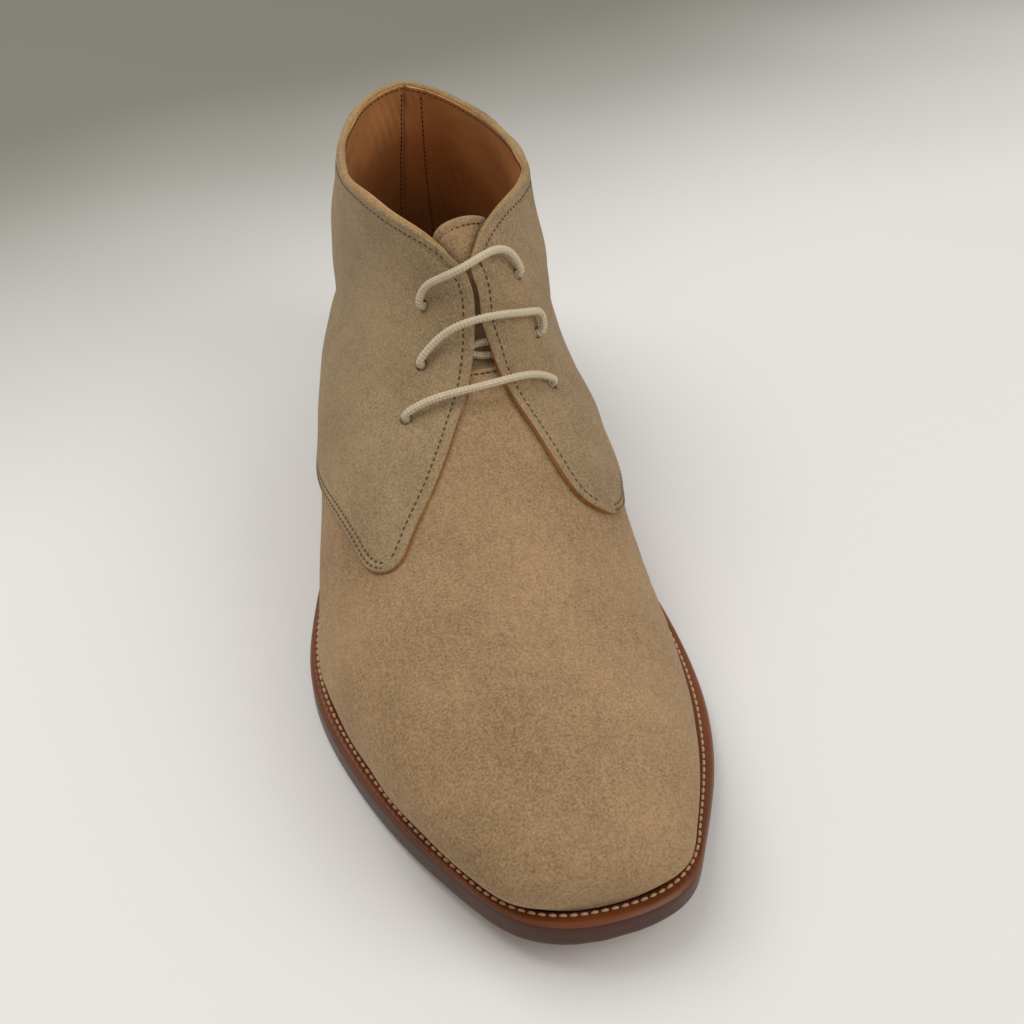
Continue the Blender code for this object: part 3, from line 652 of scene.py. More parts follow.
class Nodes:
    """Short calls for a node tree: add a node, set its inputs, link sockets."""

    def __init__(self, tree):
        self.tree = tree

    def add(self, kind, inputs=(), **settings):
        node = self.tree.nodes.new(kind)
        for key, value in settings.items():
            setattr(node, key, value)
        for key, value in dict(inputs).items():
            if isinstance(value, bpy.types.NodeSocket):
                self.tree.links.new(value, node.inputs[key])
            else:
                node.inputs[key].default_value = value
        return node

    def noise(self, vector, scale, detail=2.0, rough=0.5, distortion=0.0):
        inputs = {"Vector": vector, "Scale": scale, "Detail": detail, "Roughness": rough}
        return self.add("ShaderNodeTexNoise", {**inputs, "Distortion": distortion}).outputs["Fac"]

    def math(self, operation, first, second=0.0):
        return self.add("ShaderNodeMath", {0: first, 1: second}, operation=operation).outputs[0]

    def remap(self, value, low, high, to_low, to_high):
        inputs = {"Value": value, 1: low, 2: high, 3: to_low, 4: to_high}
        return self.add("ShaderNodeMapRange", inputs).outputs[0]

    def mix(self, share, first, second):
        node = self.add("ShaderNodeMix", data_type="RGBA")
        for index, value in ((0, share), (6, first), (7, second)):
            if isinstance(value, bpy.types.NodeSocket):
                self.tree.links.new(value, node.inputs[index])
            else:
                node.inputs[index].default_value = value
        return node.outputs[2]

    def stretched(self, vector, scale, rotation=(0, 0, 0)):
        inputs = {"Vector": vector, "Scale": scale, "Rotation": rotation}
        return self.add("ShaderNodeMapping", inputs).outputs[0]


def group(name, inputs, outputs):
    """A new shader node group with float inputs and outputs, and its two ends."""
    tree = bpy.data.node_groups.new(name, "ShaderNodeTree")
    tree.interface.new_socket("Vector", in_out="INPUT", socket_type="NodeSocketVector")
    for label, value in inputs.items():
        tree.interface.new_socket(label, in_out="INPUT", socket_type="NodeSocketFloat").default_value = value
    for label in outputs:
        tree.interface.new_socket(label, in_out="OUTPUT", socket_type="NodeSocketFloat")
    return tree, tree.nodes.new("NodeGroupInput"), tree.nodes.new("NodeGroupOutput")


def nap_group():
    """Suede: fine fibres, brushed patches where the nap lies over, and clouds.
    Tone is near 0.5 and Height is in shares of the nap's depth."""
    tree, start, end = group("suede_nap", {"Fibre": 1500.0, "Patch": 95.0, "Cloud": 26.0}, ("Tone", "Height"))
    make = Nodes(tree)
    vector = start.outputs["Vector"]
    brushed = make.stretched(vector, (1.0, 0.45, 1.0), (0.0, 0.0, 0.35))
    fibre = make.noise(vector, start.outputs["Fibre"], 3.0, 0.65)
    coarse = make.noise(brushed, 520.0, 2.5, 0.6, 0.4)
    patch = make.noise(brushed, start.outputs["Patch"], 3.0, 0.6, 0.6)
    cloud = make.noise(vector, start.outputs["Cloud"], 2.0, 0.5)
    tone = 0.5
    for noise, weight in ((fibre, 1.9), (coarse, 0.5), (patch, 0.28), (cloud, 0.8)):
        tone = make.math("ADD", tone, make.math("MULTIPLY", make.math("SUBTRACT", noise, 0.5), weight))
    tree.links.new(tone, end.inputs["Tone"])
    height = make.math("ADD", make.math("MULTIPLY", fibre, 0.6), make.math("MULTIPLY", coarse, 0.5))
    tree.links.new(height, end.inputs["Height"])
    return tree


def hide_group():
    """Smooth leather: pores, faint creases and wide tone. Wear is near 1 on the
    rubbed streaks."""
    tree, start, end = group("smooth_hide", {"Pore": 900.0, "Streak": 60.0}, ("Tone", "Height", "Wear"))
    make = Nodes(tree)
    vector = start.outputs["Vector"]
    pore = make.add("ShaderNodeTexVoronoi", {"Vector": vector, "Scale": start.outputs["Pore"]}, feature="F1")
    long_way = make.stretched(vector, (1.0, 0.12, 1.0), (0.0, 0.0, 0.2))
    streak = make.noise(long_way, start.outputs["Streak"], 6.0, 0.7, 0.3)
    wide = make.noise(vector, 34.0, 3.0, 0.55)
    tone = make.math("ADD", make.math("MULTIPLY", streak, 0.45), make.math("MULTIPLY", wide, 0.55))
    tree.links.new(tone, end.inputs["Tone"])
    deep = make.math("MULTIPLY", pore.outputs["Distance"], 0.5)
    height = make.math("ADD", deep, make.math("MULTIPLY", streak, 0.4))
    tree.links.new(height, end.inputs["Height"])
    tree.links.new(make.remap(streak, 0.58, 0.70, 0.0, 1.0), end.inputs["Wear"])
    return tree


def shared(name, make):
    """A node group by name, made once."""
    return bpy.data.node_groups.get(name) or make()


def start_material(name, roughness):
    """A new material, its nodes, its shader and the Object coordinates."""
    made = bpy.data.materials.new(name)
    made.use_nodes = True
    make = Nodes(made.node_tree)
    shader = made.node_tree.nodes["Principled BSDF"]
    shader.inputs["Roughness"].default_value = roughness
    place = make.add("ShaderNodeTexCoord").outputs["Object"]
    return made, make, shader, place


def shades(colour, darker, lighter):
    """A colour's dark and light ends, with an alpha."""
    dark = tuple(value * darker for value in colour) + (1.0,)
    light = tuple(min(1.0, value * lighter) for value in colour) + (1.0,)
    return dark, light


def toned(colour, *by):
    """A colour times one share, or times a share for each channel."""
    return tuple(float(value) for value in np.multiply(colour, by))


def bump(make, shader, height, depth):
    """Feed a height, in metres when times depth, to the shader's normal."""
    node = make.add("ShaderNodeBump", {"Height": height, "Distance": depth, "Strength": 1.0})
    make.tree.links.new(node.outputs[0], shader.inputs["Normal"])


def suede(name, colour, depth):
    """Napped suede, with a dull sheen."""
    found = bpy.data.materials.get(name)
    if found:
        return found
    made, make, shader, place = start_material(name, 0.95)
    nap = make.add("ShaderNodeGroup", node_tree=shared("suede_nap", nap_group))
    nap.inputs["Fibre"].default_value = 1500.0
    nap.inputs["Patch"].default_value = 95.0
    nap.inputs["Cloud"].default_value = 26.0
    make.tree.links.new(place, nap.inputs["Vector"])
    dark, light = shades(colour, 0.68, 1.38)
    share = make.remap(nap.outputs["Tone"], 0.12, 0.88, 0.0, 1.0)
    make.tree.links.new(make.mix(share, dark, light), shader.inputs["Base Color"])
    shader.inputs["Sheen Weight"].default_value = 0.22
    shader.inputs["Sheen Roughness"].default_value = 0.45
    shader.inputs["Sheen Tint"].default_value = (*(min(1.0, 0.4 + value) for value in colour), 1.0)
    shader.inputs["Specular IOR Level"].default_value = 0.12
    bump(make, shader, nap.outputs["Height"], depth)
    return made


def hide(
    name, colour, roughness, coat=0.0, darker=0.7, lighter=1.25, depth=0.00008,
    wear=0.0, streak=60.0, gloss=0.5, low=(),
):
    """Smooth leather, with pores, streaks and, where it is rubbed, a paler worn tone.
    With low, painted shade darkens it downwards between those two heights."""
    found = bpy.data.materials.get(name)
    if found:
        return found
    made, make, shader, place = start_material(name, roughness)
    grain = make.add("ShaderNodeGroup", node_tree=shared("smooth_hide", hide_group))
    grain.inputs["Streak"].default_value = streak
    grain.inputs["Pore"].default_value = 900.0
    make.tree.links.new(place, grain.inputs["Vector"])
    dark, light = shades(colour, darker, lighter)
    tone = make.mix(make.remap(grain.outputs["Tone"], 0.30, 0.70, 0.0, 1.0), dark, light)
    if wear:
        pale = shades(colour, 1.0, 1.9)[1]
        tone = make.mix(make.math("MULTIPLY", grain.outputs["Wear"], wear), tone, pale)
    # Painted shade: the colour darkens downwards, where less light reaches.
    if low:
        height = make.add("ShaderNodeSeparateXYZ", {0: place}).outputs["Z"]
        tone = make.mix(make.remap(height, *low, 0.0, 1.0), shades(colour, 0.35, 1.0)[0], tone)
    make.tree.links.new(tone, shader.inputs["Base Color"])
    rough = make.remap(grain.outputs["Tone"], 0.3, 0.7, roughness * 0.8, min(1.0, roughness * 1.25))
    make.tree.links.new(rough, shader.inputs["Roughness"])
    shader.inputs["Specular IOR Level"].default_value = gloss
    shader.inputs["Coat Weight"].default_value = coat
    shader.inputs["Coat Roughness"].default_value = 0.18
    bump(make, shader, grain.outputs["Height"], depth)
    return made


def thread(name, colour, twist=2600.0):
    """Twisted thread: slanted fine strands across each stitch."""
    found = bpy.data.materials.get(name)
    if found:
        return found
    made, make, shader, place = start_material(name, 0.75)
    strand = make.noise(make.stretched(place, (1.0, 1.0, 2.0), (0.5, 0.3, 0.8)), twist, 2.0, 0.6)
    dark, light = shades(colour, 0.7, 1.25)
    make.tree.links.new(make.mix(strand, dark, light), shader.inputs["Base Color"])
    bump(make, shader, strand, 0.0001)
    return made


def cut_hide(colours):
    """The look of the suede's raw cut edge."""
    return hide("cut_edge", colours.cut, 0.85, darker=0.6, lighter=1.3)


def edge_hide(colours):
    """The look of the sole's polished edge."""
    return hide("sole_edge", colours.edge, 0.40, 0.10, depth=0.00003, darker=0.8, lighter=1.3, gloss=0.2)


# ---------------------------------------------------------------- the upper's pieces


def flap_edge(table, s, way):
    """How far from the ridge a quarter's front edge (way -1) or lower edge (way 1)
    is at s: one spline over the signed root of the distance from the tip."""
    tip = int(np.argmin(table[:, 0]))
    sign = np.where(np.arange(len(table)) < tip, -1, 1)
    knots = sign * np.sqrt(table[:, 0] - table[tip, 0])
    return spline(knots, table[:, 1], way * np.sqrt(np.clip(s - table[tip, 0], 0, None)))


def flap_line(table, side, start, end, count=400):
    """Quarter's edge as s and a, by the signed root of s over the tip, from start
    to end as shares of its front (negative) and of its lower edge (positive)."""
    tip = table[:, 0].min()
    front, low = np.sqrt(1 - tip), np.sqrt(table[-1, 0] - tip)
    share = np.linspace(start, end, count)
    root = np.where(share < 0, share * front, share * low)
    s = tip + root**2
    away = np.where(root < 0, flap_edge(table, s, -1), flap_edge(table, s, 1))
    return s, 0.5 + side * away


def moved(s, a, offset):
    """Places on the last a little way to one side of a line on it, by the slopes
    of the surface: offset is a length to the line's left, seen from outside."""
    step = 0.0005
    line = skin(s, a, 0)
    along = unit(np.gradient(line, axis=0))
    normal = normals(s, a)
    side = np.cross(normal, along) * offset
    by_s = (skin(s + step, a, 0) - skin(s - step, a, 0)) / (2 * step)
    by_a = (skin(s, a + step, 0) - skin(s, a - step, 0)) / (2 * step)
    ss, sa, aa = (by_s**2).sum(1), (by_s * by_a).sum(1), (by_a**2).sum(1)
    s_side, a_side = (by_s * side).sum(1), (by_a * side).sum(1)
    base = ss * aa - sa**2
    return s + (s_side * aa - a_side * sa) / base, a + (a_side * ss - s_side * sa) / base


def row_on(s, a, lift, pitch):
    """A stitch row along a line on the last: even points and their normals."""
    return evenly(skin(s, a, lift), pitch, normals(s, a))


QUARTERS = {"inner": (INNER_FLAP, -1), "outer": (OUTER_FLAP, 1)}


def eyelet_places(side):
    """s and a of one quarter's three lace holes."""
    return EYELETS[:, :2] if side == "inner" else EYELETS[:, 2:]


def quarter_places(table, side, rows, columns):
    """Grid of s and a over a quarter: rows from the collar to the tip, columns from
    the front edge to the back seam, the foot line or the lower edge."""
    heel, waist, tip = heel_share(), table[-1, 0], table[:, 0].min()
    top = 1 - (1 - heel) * (1 - np.sin(np.linspace(np.pi / 2, 0, rows // 3)))
    shaft = np.linspace(heel, waist, rows // 3 + 1)[1:]
    nose = tip + (waist - tip) * np.linspace(1, 0, rows // 3) ** 2
    s = np.r_[top[:-1], heel, shaft[:-1], nose][:, None]
    front = flap_edge(table, s, -1)
    rear = np.where(s < waist, flap_edge(table, s, 1), 0.5)
    t = np.linspace(0, 1, columns)[None]
    both = np.clip(2 * (waist - s) / (waist - tip), 0, 1)
    steps = (1 - both) * t**1.5 + both * (1 - np.cos(np.pi * t)) / 2
    a = 0.5 + side * (front + (rear - front) * steps)
    return s + 0 * a, a


def quarter_relief(points, table, side, name, sizes):
    """How far a quarter stands over the last: its thickness, rounded off at its
    edges, pressed in under the stitch rows and at the holes, and softly uneven."""
    edge_line = skin(*flap_line(table, side, -1, 1, 500), QUARTER)
    low_line = skin(*flap_line(table, side, 0.12, 1, 300), QUARTER)
    collar = skin(1.0, np.linspace(0, 1, 400) * 0.5 + (0 if side < 0 else 0.5), QUARTER)
    from_edge, from_low = distance(points, edge_line), distance(points, low_line)
    from_collar = distance(points, collar)
    lift = QUARTER + 0.0001 - 0.00045 * np.exp(-from_edge / 0.0003)
    front_only = np.clip((from_low - 0.004) / 0.004, 0, 1)
    lift -= 0.00028 * dent(from_edge, sizes.front_row, 0.0007) * front_only
    lift -= 0.00026 * sum(dent(from_low, row, 0.0005) for row in LOW_ROWS) * (1 - front_only)
    lift -= 0.00030 * dent(from_collar, sizes.front_row, 0.0008)
    holes = np.stack([skin(s, a, QUARTER) for s, a in eyelet_places(name)])
    lift -= 0.00050 * np.exp(-((distance(points, holes) / 0.0030) ** 2))
    lift += 0.00028 * ripple(points, 0.022, 11 + side)
    if side > 0:
        away = np.clip(1 - from_edge / 0.005, 0, 1) * np.clip((from_low - 0.004) / 0.01, 0, 1)
        lift += 0.0007 * smooth(away * (points[..., 2] < 0.085))
    return lift


def build_quarters(sizes, colours):
    """The two quarters, each a closed wall with a raw cut edge but at the collar."""
    raw = cut_hide(colours)
    made = []
    for name, (table, side) in QUARTERS.items():
        finish = suede(f"suede_{name}", colours.quarter if side < 0 else colours.outer, sizes.nap)
        s, a = quarter_places(table, side, rows=171, columns=84)
        lift = quarter_relief(skin(s, a, QUARTER), table, side, name, sizes)
        below = np.where(lift > QUARTER + 0.0004, lift - QUARTER, -0.00015)
        outer, inner = skin(s, a, lift), skin(s, a, below)
        piece = shell(f"quarter_{name}", [(outer, inner)], [finish, finish, raw])
        rim = skin(1, np.linspace(a.min(), a.max(), 600), QUARTER / 2)
        faces = piece.data.polygons
        kinds = np.array([face.material_index for face in faces])
        centres = np.array([face.center for face in faces])[kinds == 2]
        gap = np.linalg.norm(centres[:, None] - rim[None], axis=2).min(axis=1)
        kinds[kinds == 2] = np.where(gap < 0.0015, 0, 2)
        faces.foreach_set("material_index", kinds)
        made.append(carry(piece, "suede", "upper"))
    return made


def vamp_relief(points):
    """Soft unevenness of the vamp, and faint creases where the toes bend."""
    along = points[..., 1] + 0.10 * np.abs(points[..., 0] - 0.002)
    waves = np.sin((along + 0.052) * 2 * np.pi / 0.0085 + 1.6 * ripple(points, 0.05, 5))
    bend = np.exp(-(((along + 0.045) / 0.016) ** 2))
    return 0.00030 * ripple(points, 0.028, 3) + 0.00010 * waves * bend


def build_vamp(sizes, colours):
    """The vamp: one wall over the toe to the throat and on under the quarters."""
    s = np.r_[np.linspace(0, 0.1, 30)[:-1], np.linspace(0.1, VAMP_END, 160)][:, None]
    a = np.linspace(0, 1, 150)[None]
    s, a = s + 0 * a, a + 0 * s
    base = skin(s, a, 0)
    end = 0.0005 * np.exp(-((VAMP_END - s) / 0.004)) + 0.0003 * dent(VAMP_END - s, 0.012, 0.004)
    near_foot = np.clip(np.minimum(a, 1 - a) / 0.03, 0, 1)
    outer = skin(s, a, vamp_relief(base) * near_foot * np.clip(s / 0.02, 0, 1) - end)
    inner = skin(s, a, -0.0010)
    finish = suede("suede_vamp", colours.vamp, sizes.nap)
    return carry(shell("vamp", [(outer, inner)], [finish, finish, finish]), "suede", "upper")


def lining_depth(s, a):
    """How far the lining's face lies inside the boot: the wall, with a groove at
    the back seam, a strip beside it, and soft wrinkles down the heel."""
    points = skin(s, a, 0)
    back = np.clip((points[..., 1] - 0.085) / 0.05, 0, 1) * np.clip((s - 0.80) / 0.06, 0, 1)
    slant = points[..., 0] - 0.009 + 0.25 * (points[..., 2] - 0.08)
    folds = np.sin(slant * 2 * np.pi / 0.0031 + 2.2 * ripple(points, 0.03, 7))
    folds = folds * np.clip(0.2 + ripple(points, 0.03, 8), 0, 1)
    deep = wall(s) + 0.00018 * back * folds + 0.0003 * ripple(points, 0.025, 9)
    deep = deep - 0.0005 * np.exp(-((np.minimum(a, 1 - a) / 0.004) ** 2))
    return deep + 0.0004 / (1 + np.exp(-(a - 0.971) / 0.002)) * (s > 0.6)


def build_lining(sizes, colours):
    """The leather lining: two thin walls inside the boot, a hair apart at the back
    and over the toe, and slit open at the throat."""
    foot = THROAT[0, 0]
    s = np.r_[np.linspace(0.015, 0.1, 12)[:-1], np.linspace(0.1, foot, 50)[:-1], np.linspace(foot, 1, 90)]
    open_by = np.interp(s, THROAT[:, 0], THROAT[:, 1], left=0)
    t = np.linspace(0, 1, 150)
    patches = []
    for start in (SLIT_HAIR + 0 * s, 0.5 + open_by + SLIT_HAIR):
        a = start[:, None] + (0.5 - open_by - 2 * SLIT_HAIR)[:, None] * t
        places = s[:, None] + 0 * a
        deep = lining_depth(places, a)
        under = np.where(places < VAMP_END + 0.01, -0.0011, -0.00025)
        patches.append((skin(places, a, np.maximum(under, 0.0004 - deep)), skin(places, a, -deep)))
    # low paints shade on the lining: it darkens deeper in the boot, where less light gets in.
    look_of = {"depth": 0.00010, "darker": 0.62, "lighter": 1.2, "low": (0.050, 0.090)}
    finish = hide("lining_leather", colours.lining, 0.48, **look_of)
    return carry(shell("lining", patches, [finish, finish, finish]), "suede", "upper")


def build_collar(sizes, colours):
    """The collar's folded edge: a flattened roll along the top of both quarters,
    from one front corner round the back to the other. It thins to round ends."""
    finish = suede("suede_collar", toned(colours.quarter, 1.12, 1.03, 0.85), sizes.nap)
    ends = (0.5 - INNER_FLAP[0, 1], 0.5 + OUTER_FLAP[0, 1])
    a = np.concatenate((np.linspace(ends[0], 0, 240), np.linspace(1, ends[1], 240)[1:]))
    centre = skin(np.ones_like(a), a, (QUARTER - LINING) / 2)
    up = unit(skin(np.ones_like(a), a, 0) - skin(np.full_like(a, 0.985), a, 0))
    out = normals(np.ones_like(a), a)
    arc = arc_lengths(centre)
    end = np.clip(np.minimum(arc, arc[-1] - arc) / 0.0022, 0, 1)
    size = np.sqrt(np.clip(1 - (1 - end) ** 2, 0.0004, 1))
    sides = 20
    around = angles(sides)
    wide = (QUARTER + LINING) / 2 - 0.00012
    ring = wide * np.cos(around)[None, :, None] * out[:, None]
    ring = ring + 0.0009 * np.sin(around)[None, :, None] * up[:, None]
    points = centre[:, None] + ring * size[:, None, None] - 0.0002 * up[:, None]
    count = len(points) * sides
    caps = [list(range(sides)), list(range(count - sides, count))]
    faces = grid(len(points), sides, wrap=True).tolist() + caps
    return carry(piece_from("collar_edge", points, faces, [finish], crease=80), "suede", "upper")


def tongue_depth(s):
    """Depth of the tongue's face under the last: at the vamp's edge it is close
    under it, and above that it makes room for the lace's hidden runs."""
    top = np.clip((s - 0.90) / 0.10, 0, 1)
    return 0.0012 + 0.0029 * smooth((s - (VAMP_END - 0.012)) / 0.034) - 0.0006 * top


def tongue_grid(depth, rows=130, columns=61):
    """Across, the tongue is a parabola through three lines under the last: its two
    edges and the ridge. Its top is an arc that leans to the outer side."""
    side = np.linspace(-1, 1, columns)
    ends = TONGUE_TOP - 0.13 * (side - 0.18) ** 2
    share = np.linspace(0, 1, rows)[:, None]
    s = TONGUE_SHAPE[0, 0] + (ends - TONGUE_SHAPE[0, 0])[None] * share
    wide = spline(TONGUE_SHAPE[:, 0], TONGUE_SHAPE[:, 1], s)
    weights = (side * (side - 1) / 2, 1 - side**2, side * (side + 1) / 2)
    lines = [skin(s, 0.5 + way * wide, -depth(s), risen=False) for way in (-1, 0, 1)]
    return sum(w[None, :, None] * line for w, line in zip(weights, lines)), s


def build_tongue(sizes, colours):
    """The tongue: a padded sheet of suede with a rounded rim."""
    outer, s = tongue_grid(tongue_depth)
    inner, _ = tongue_grid(lambda at: tongue_depth(at) + TONGUE_PAD)
    outward = unit(outer - inner)
    rim = np.concatenate((outer[-1], outer[::-1, 0], outer[::-1, -1]))
    from_rim = distance(outer, rim)
    lift = -0.0006 * np.exp(-from_rim / 0.0006) - 0.00022 * dent(from_rim, 0.0026, 0.0007)
    lift += 0.00025 * ripple(outer, 0.02, 21)
    finish = suede("suede_tongue", toned(colours.vamp, 1.12), sizes.nap)
    face = outer + outward * lift[..., None]
    piece = shell("tongue_leather", [(face, inner)], [finish, finish, cut_hide(colours)])
    return carry(piece, "suede", "tongue")


def hole_path(row, side, sizes):
    """Way of the lace through a hole, from outside to inside."""
    s, a = eyelet_places(side)[row]
    return [skin(s, a, lift) for lift in (QUARTER + sizes.lace * 0.30, 0, -LINING - sizes.lace * 0.3)]


def bar_path(row, sizes):
    """Way of one crossing, from the inner hole to the outer, over the quarters."""
    inner, outer = EYELETS[row, :2], EYELETS[row, 2:]
    layer = QUARTER + GAP + sizes.lace / 2
    points = []
    for index, share, rise, layers in BARS:
        if index == row:
            s, a = inner + (outer - inner) * share
            points.append(skin(s + rise, a, layer * layers, risen=False))
    return points


def run_path(places, sizes):
    """Way through places on the last, under the quarters and their lining."""
    return [skin(s, a, -LINING - GAP - sizes.lace / 2 - 0.0001, risen=False) for s, a in places]


def build_lace(sizes, colours):
    """The lace: two round braided cords through the six holes. The braid is two
    sets of strands that wind opposite ways, raised where they pass on top."""
    finish = thread("waxed_cotton", colours.lace, 1500.0)
    first = run_path([(0.800, 0.400), (0.772, 0.402)], sizes) + hole_path(1, "inner", sizes)[::-1]
    first += bar_path(1, sizes) + hole_path(1, "outer", sizes) + run_path(INNER_RUN, sizes)
    first += hole_path(0, "inner", sizes)[::-1] + bar_path(0, sizes) + hole_path(0, "outer", sizes)
    second = hole_path(0, "outer", sizes)[1:] + run_path(OUTER_RUN, sizes)
    second += hole_path(2, "inner", sizes)[::-1] + bar_path(2, sizes) + hole_path(2, "outer", sizes)
    second += run_path([(0.895, 0.595)], sizes)
    step, pitch = 0.00022, 0.0088

    def braid(along, around):
        turned = along * step * 2 * np.pi / pitch
        return 0.00020 * np.sin(4 * (around + turned)) * np.sin(4 * (around - turned)) - 0.00008

    for name, route in (("lace", first), ("lace_upper", second)):
        path = evenly(curve(route, 600), step)
        carry(tube(name, path, sizes.lace / 2, 32, finish, braid), "cotton", "lace")


def punch_holes(pieces, sizes, colours):
    """Cut the six lace holes through the quarters and the lining."""
    # Painted shade: the holes' walls are coloured near black, as the inside of a hole lies in shade.
    raw = hide("hole_wall_shade", toned(colours.cut, 0.12), 0.9, darker=0.6, lighter=1.3)
    for name in QUARTERS:
        for s, a in eyelet_places(name):
            centre, way = skin(s, a, 0), normals(s, a)
            path = centre + np.linspace(-0.004, 0.004, 3)[:, None] * way
            cutter = tube("hole", path, sizes.eyelet / 2, 24, raw)
            cut([p for p in pieces if p.name in (f"quarter_{name}", "lining")], cutter)


def lining_row(s, a, pitch):
    """A stitch row on the lining's face, its normals turned into the boot."""
    points, out = row_on(s, a, -lining_depth(s, a) - 0.0001, pitch)
    return points, -out


def build_stitching(sizes, colours):
    """Sewn rows of the upper: along the quarters' fronts and lower edges, round the
    collar outside and inside, across the vamp's end and round the tongue's top."""
    rows = []
    pitch = sizes.stitch
    for name, (table, side) in QUARTERS.items():
        front = moved(*flap_line(table, side, -0.985, -0.10), side * sizes.front_row)
        low, second = (
            moved(*flap_line(table, side, start, 0.985), side * row)
            for start, row in zip((0.03, 0.06), LOW_ROWS)
        )
        start = flap_line(table, side, -1, -0.9)[1][0] + side * 0.005
        a = np.linspace(start, 0.5 + side * 0.5, 300)
        collar = 1 - 0.030 * sizes.front_row / np.linalg.norm(skin(1, a, 0) - skin(0.97, a, 0), axis=1), a
        for at in (front, low, second, collar):
            points = skin(*at, QUARTER)[None]
            rows.append(row_on(*at, quarter_relief(points, table, side, name, sizes)[0] - 0.00004, pitch))
        rows.append(lining_row(1 - (1 - collar[0]) * 0.4, a, pitch))
    down = np.linspace(0.992, 0.72, 200)
    rows += [lining_row(down, np.full(200, a), pitch) for a in (0.006, 0.966)]
    a = np.linspace(0.484, 0.540, 60)
    rows.append(row_on(np.full(60, VAMP_END - 0.0085), a, -0.0003, 0.0017))
    outer, _ = tongue_grid(tongue_depth, 200, 121)
    inner, _ = tongue_grid(lambda at: tongue_depth(at) + TONGUE_PAD, 200, 121)
    up = unit(outer - inner)
    rows.append(evenly(outer[-11, 10:-10] - 0.0001 * up[-11, 10:-10], pitch, up[-11, 10:-10]))
    finish = thread("dark_thread", colours.thread)
    carry(stitches("upper_stitching", rows, pitch * 0.74, sizes.thread, finish), "suede")


# ---------------------------------------------------------------- the sole's pieces


def loop(inner_side, outer_side):
    """Closed ring of points: toe tip, outer side, heel tip, inner side."""
    return np.concatenate((outer_side, inner_side[-2:0:-1]))


def outline_side(u, out, y):
    """Line that far to one side of the sole's middle line."""
    return np.stack((middle(u) + out, y, 0 * u), axis=-1)


def sole_ring(u):
    """Ring of the outsole's outline."""
    return loop(*(outline_side(u, way * half(u), -LENGTH / 2 * np.cos(np.pi * u)) for way in (-1, 1)))


def foot_ring(u):
    """Ring of the line where the upper meets the welt."""
    return loop(*(outline_side(u, way * (foot_half(u) - drawn(u, way)), foot_y(u)) for way in (-1, 1)))


def even_turns(count):
    """Turns u at even steps along the sole."""
    u = turn(np.linspace(0, 1, count))
    u[0], u[-1] = 0, 1
    return u


def doubled(values):
    """Values at the turns u, repeated for both sides of a ring."""
    return np.concatenate((values, values[-2:0:-1]))


def seam_width(u):
    """How far the welt's stitches run outside the foot line, round a ring."""
    return loop(sided(SEAM, u, -1), sided(SEAM, u, 1))


def inset(ring, width):
    """A ring moved inwards in plan, by one width or one for each point."""
    along = np.roll(ring, -1, axis=0) - np.roll(ring, 1, axis=0)
    inward = unit(np.stack((-along[:, 1], along[:, 0], 0 * along[:, 0]), axis=-1))
    return ring + inward * np.broadcast_to(width, len(ring))[:, None]


def at_height(ring, height):
    """A ring with its heights replaced."""
    return np.column_stack((ring[:, :2], np.broadcast_to(height, len(ring))))


def raised(ring, width, over):
    """A ring moved in, at a height over the tread."""
    ring = inset(ring, width)
    return at_height(ring, tread(ring[:, 1]) + over)


def build_welt(sizes, colours):
    """The welt: a ring with a rounded edge, a crowned top marked between the
    stitches, and a crease where it meets the upper, dark with painted shade. Its stitches run to the heel."""
    u = even_turns(1101)
    ring = sole_ring(u)
    even = np.linspace(0, 1, 1201)
    foot = foot_ring(even)
    shown = distance(ring, foot)
    base = OUTSOLE - 0.0001
    mark = np.cos(arc_lengths(ring) * 2 * np.pi / sizes.welt_stitch)
    mark = np.where(ring[:, 1] < BREAST_Y, 0.00009 * mark, 0)
    top = OUTSOLE + GAP + WELT
    clear = np.maximum(shown - seam_width(u), 0.0004)
    bands = [
        (0.0, base),
        (0.0, top - 0.0016),
        (clear * 0.06, top - 0.0009),
        (clear * 0.28, top - 0.0002),
        (clear * 0.52, top + 0.0001 + mark * 0.3),
        (clear * 0.78, top + 0.0001 + mark * 0.7),
        (clear, top + mark),
        (shown - 0.0002, top - 0.0002),
        (shown + 0.0001, top - 0.0009),
        (shown + 0.0022, top - 0.0009),
        (shown + 0.0022, base),
    ]
    finishes = [
        hide("welt_top", colours.welt, 0.36, coat=0.12, depth=0.00005, lighter=1.35, gloss=0.3),
        edge_hide(colours),
        # Painted shade: the crease where the welt meets the upper is coloured near black.
        hide("welt_crease_shade", toned(colours.welt, 0.12), 0.8),
    ]
    kinds = [1, 1, 0, 0, 0, 0, 0, 2, 2, 0, 0]
    layers = [raised(ring, width, over) for width, over in bands]
    carry(rings("welt_strip", layers, finishes, kinds, caps=None), "edge_leather", "welt")
    line = inset(foot, -seam_width(even))
    line = at_height(line, tread(line[:, 1]) + top + 0.0001)
    line = np.roll(line, -int(np.argmax(line[:, 1])), axis=0)
    line = line[line[:, 1] < BREAST_Y]
    rows = [evenly(line, sizes.welt_stitch, np.tile((0.0, 0.0, 1.0), (len(line), 1)))]
    sewn = thread("welt_thread", colours.welt_thread, 1800.0)
    piece = stitches("welt_stitching", rows, sizes.welt_stitch * 0.86, sizes.welt_thread, sewn, sink=0.42)
    carry(piece, "cotton")


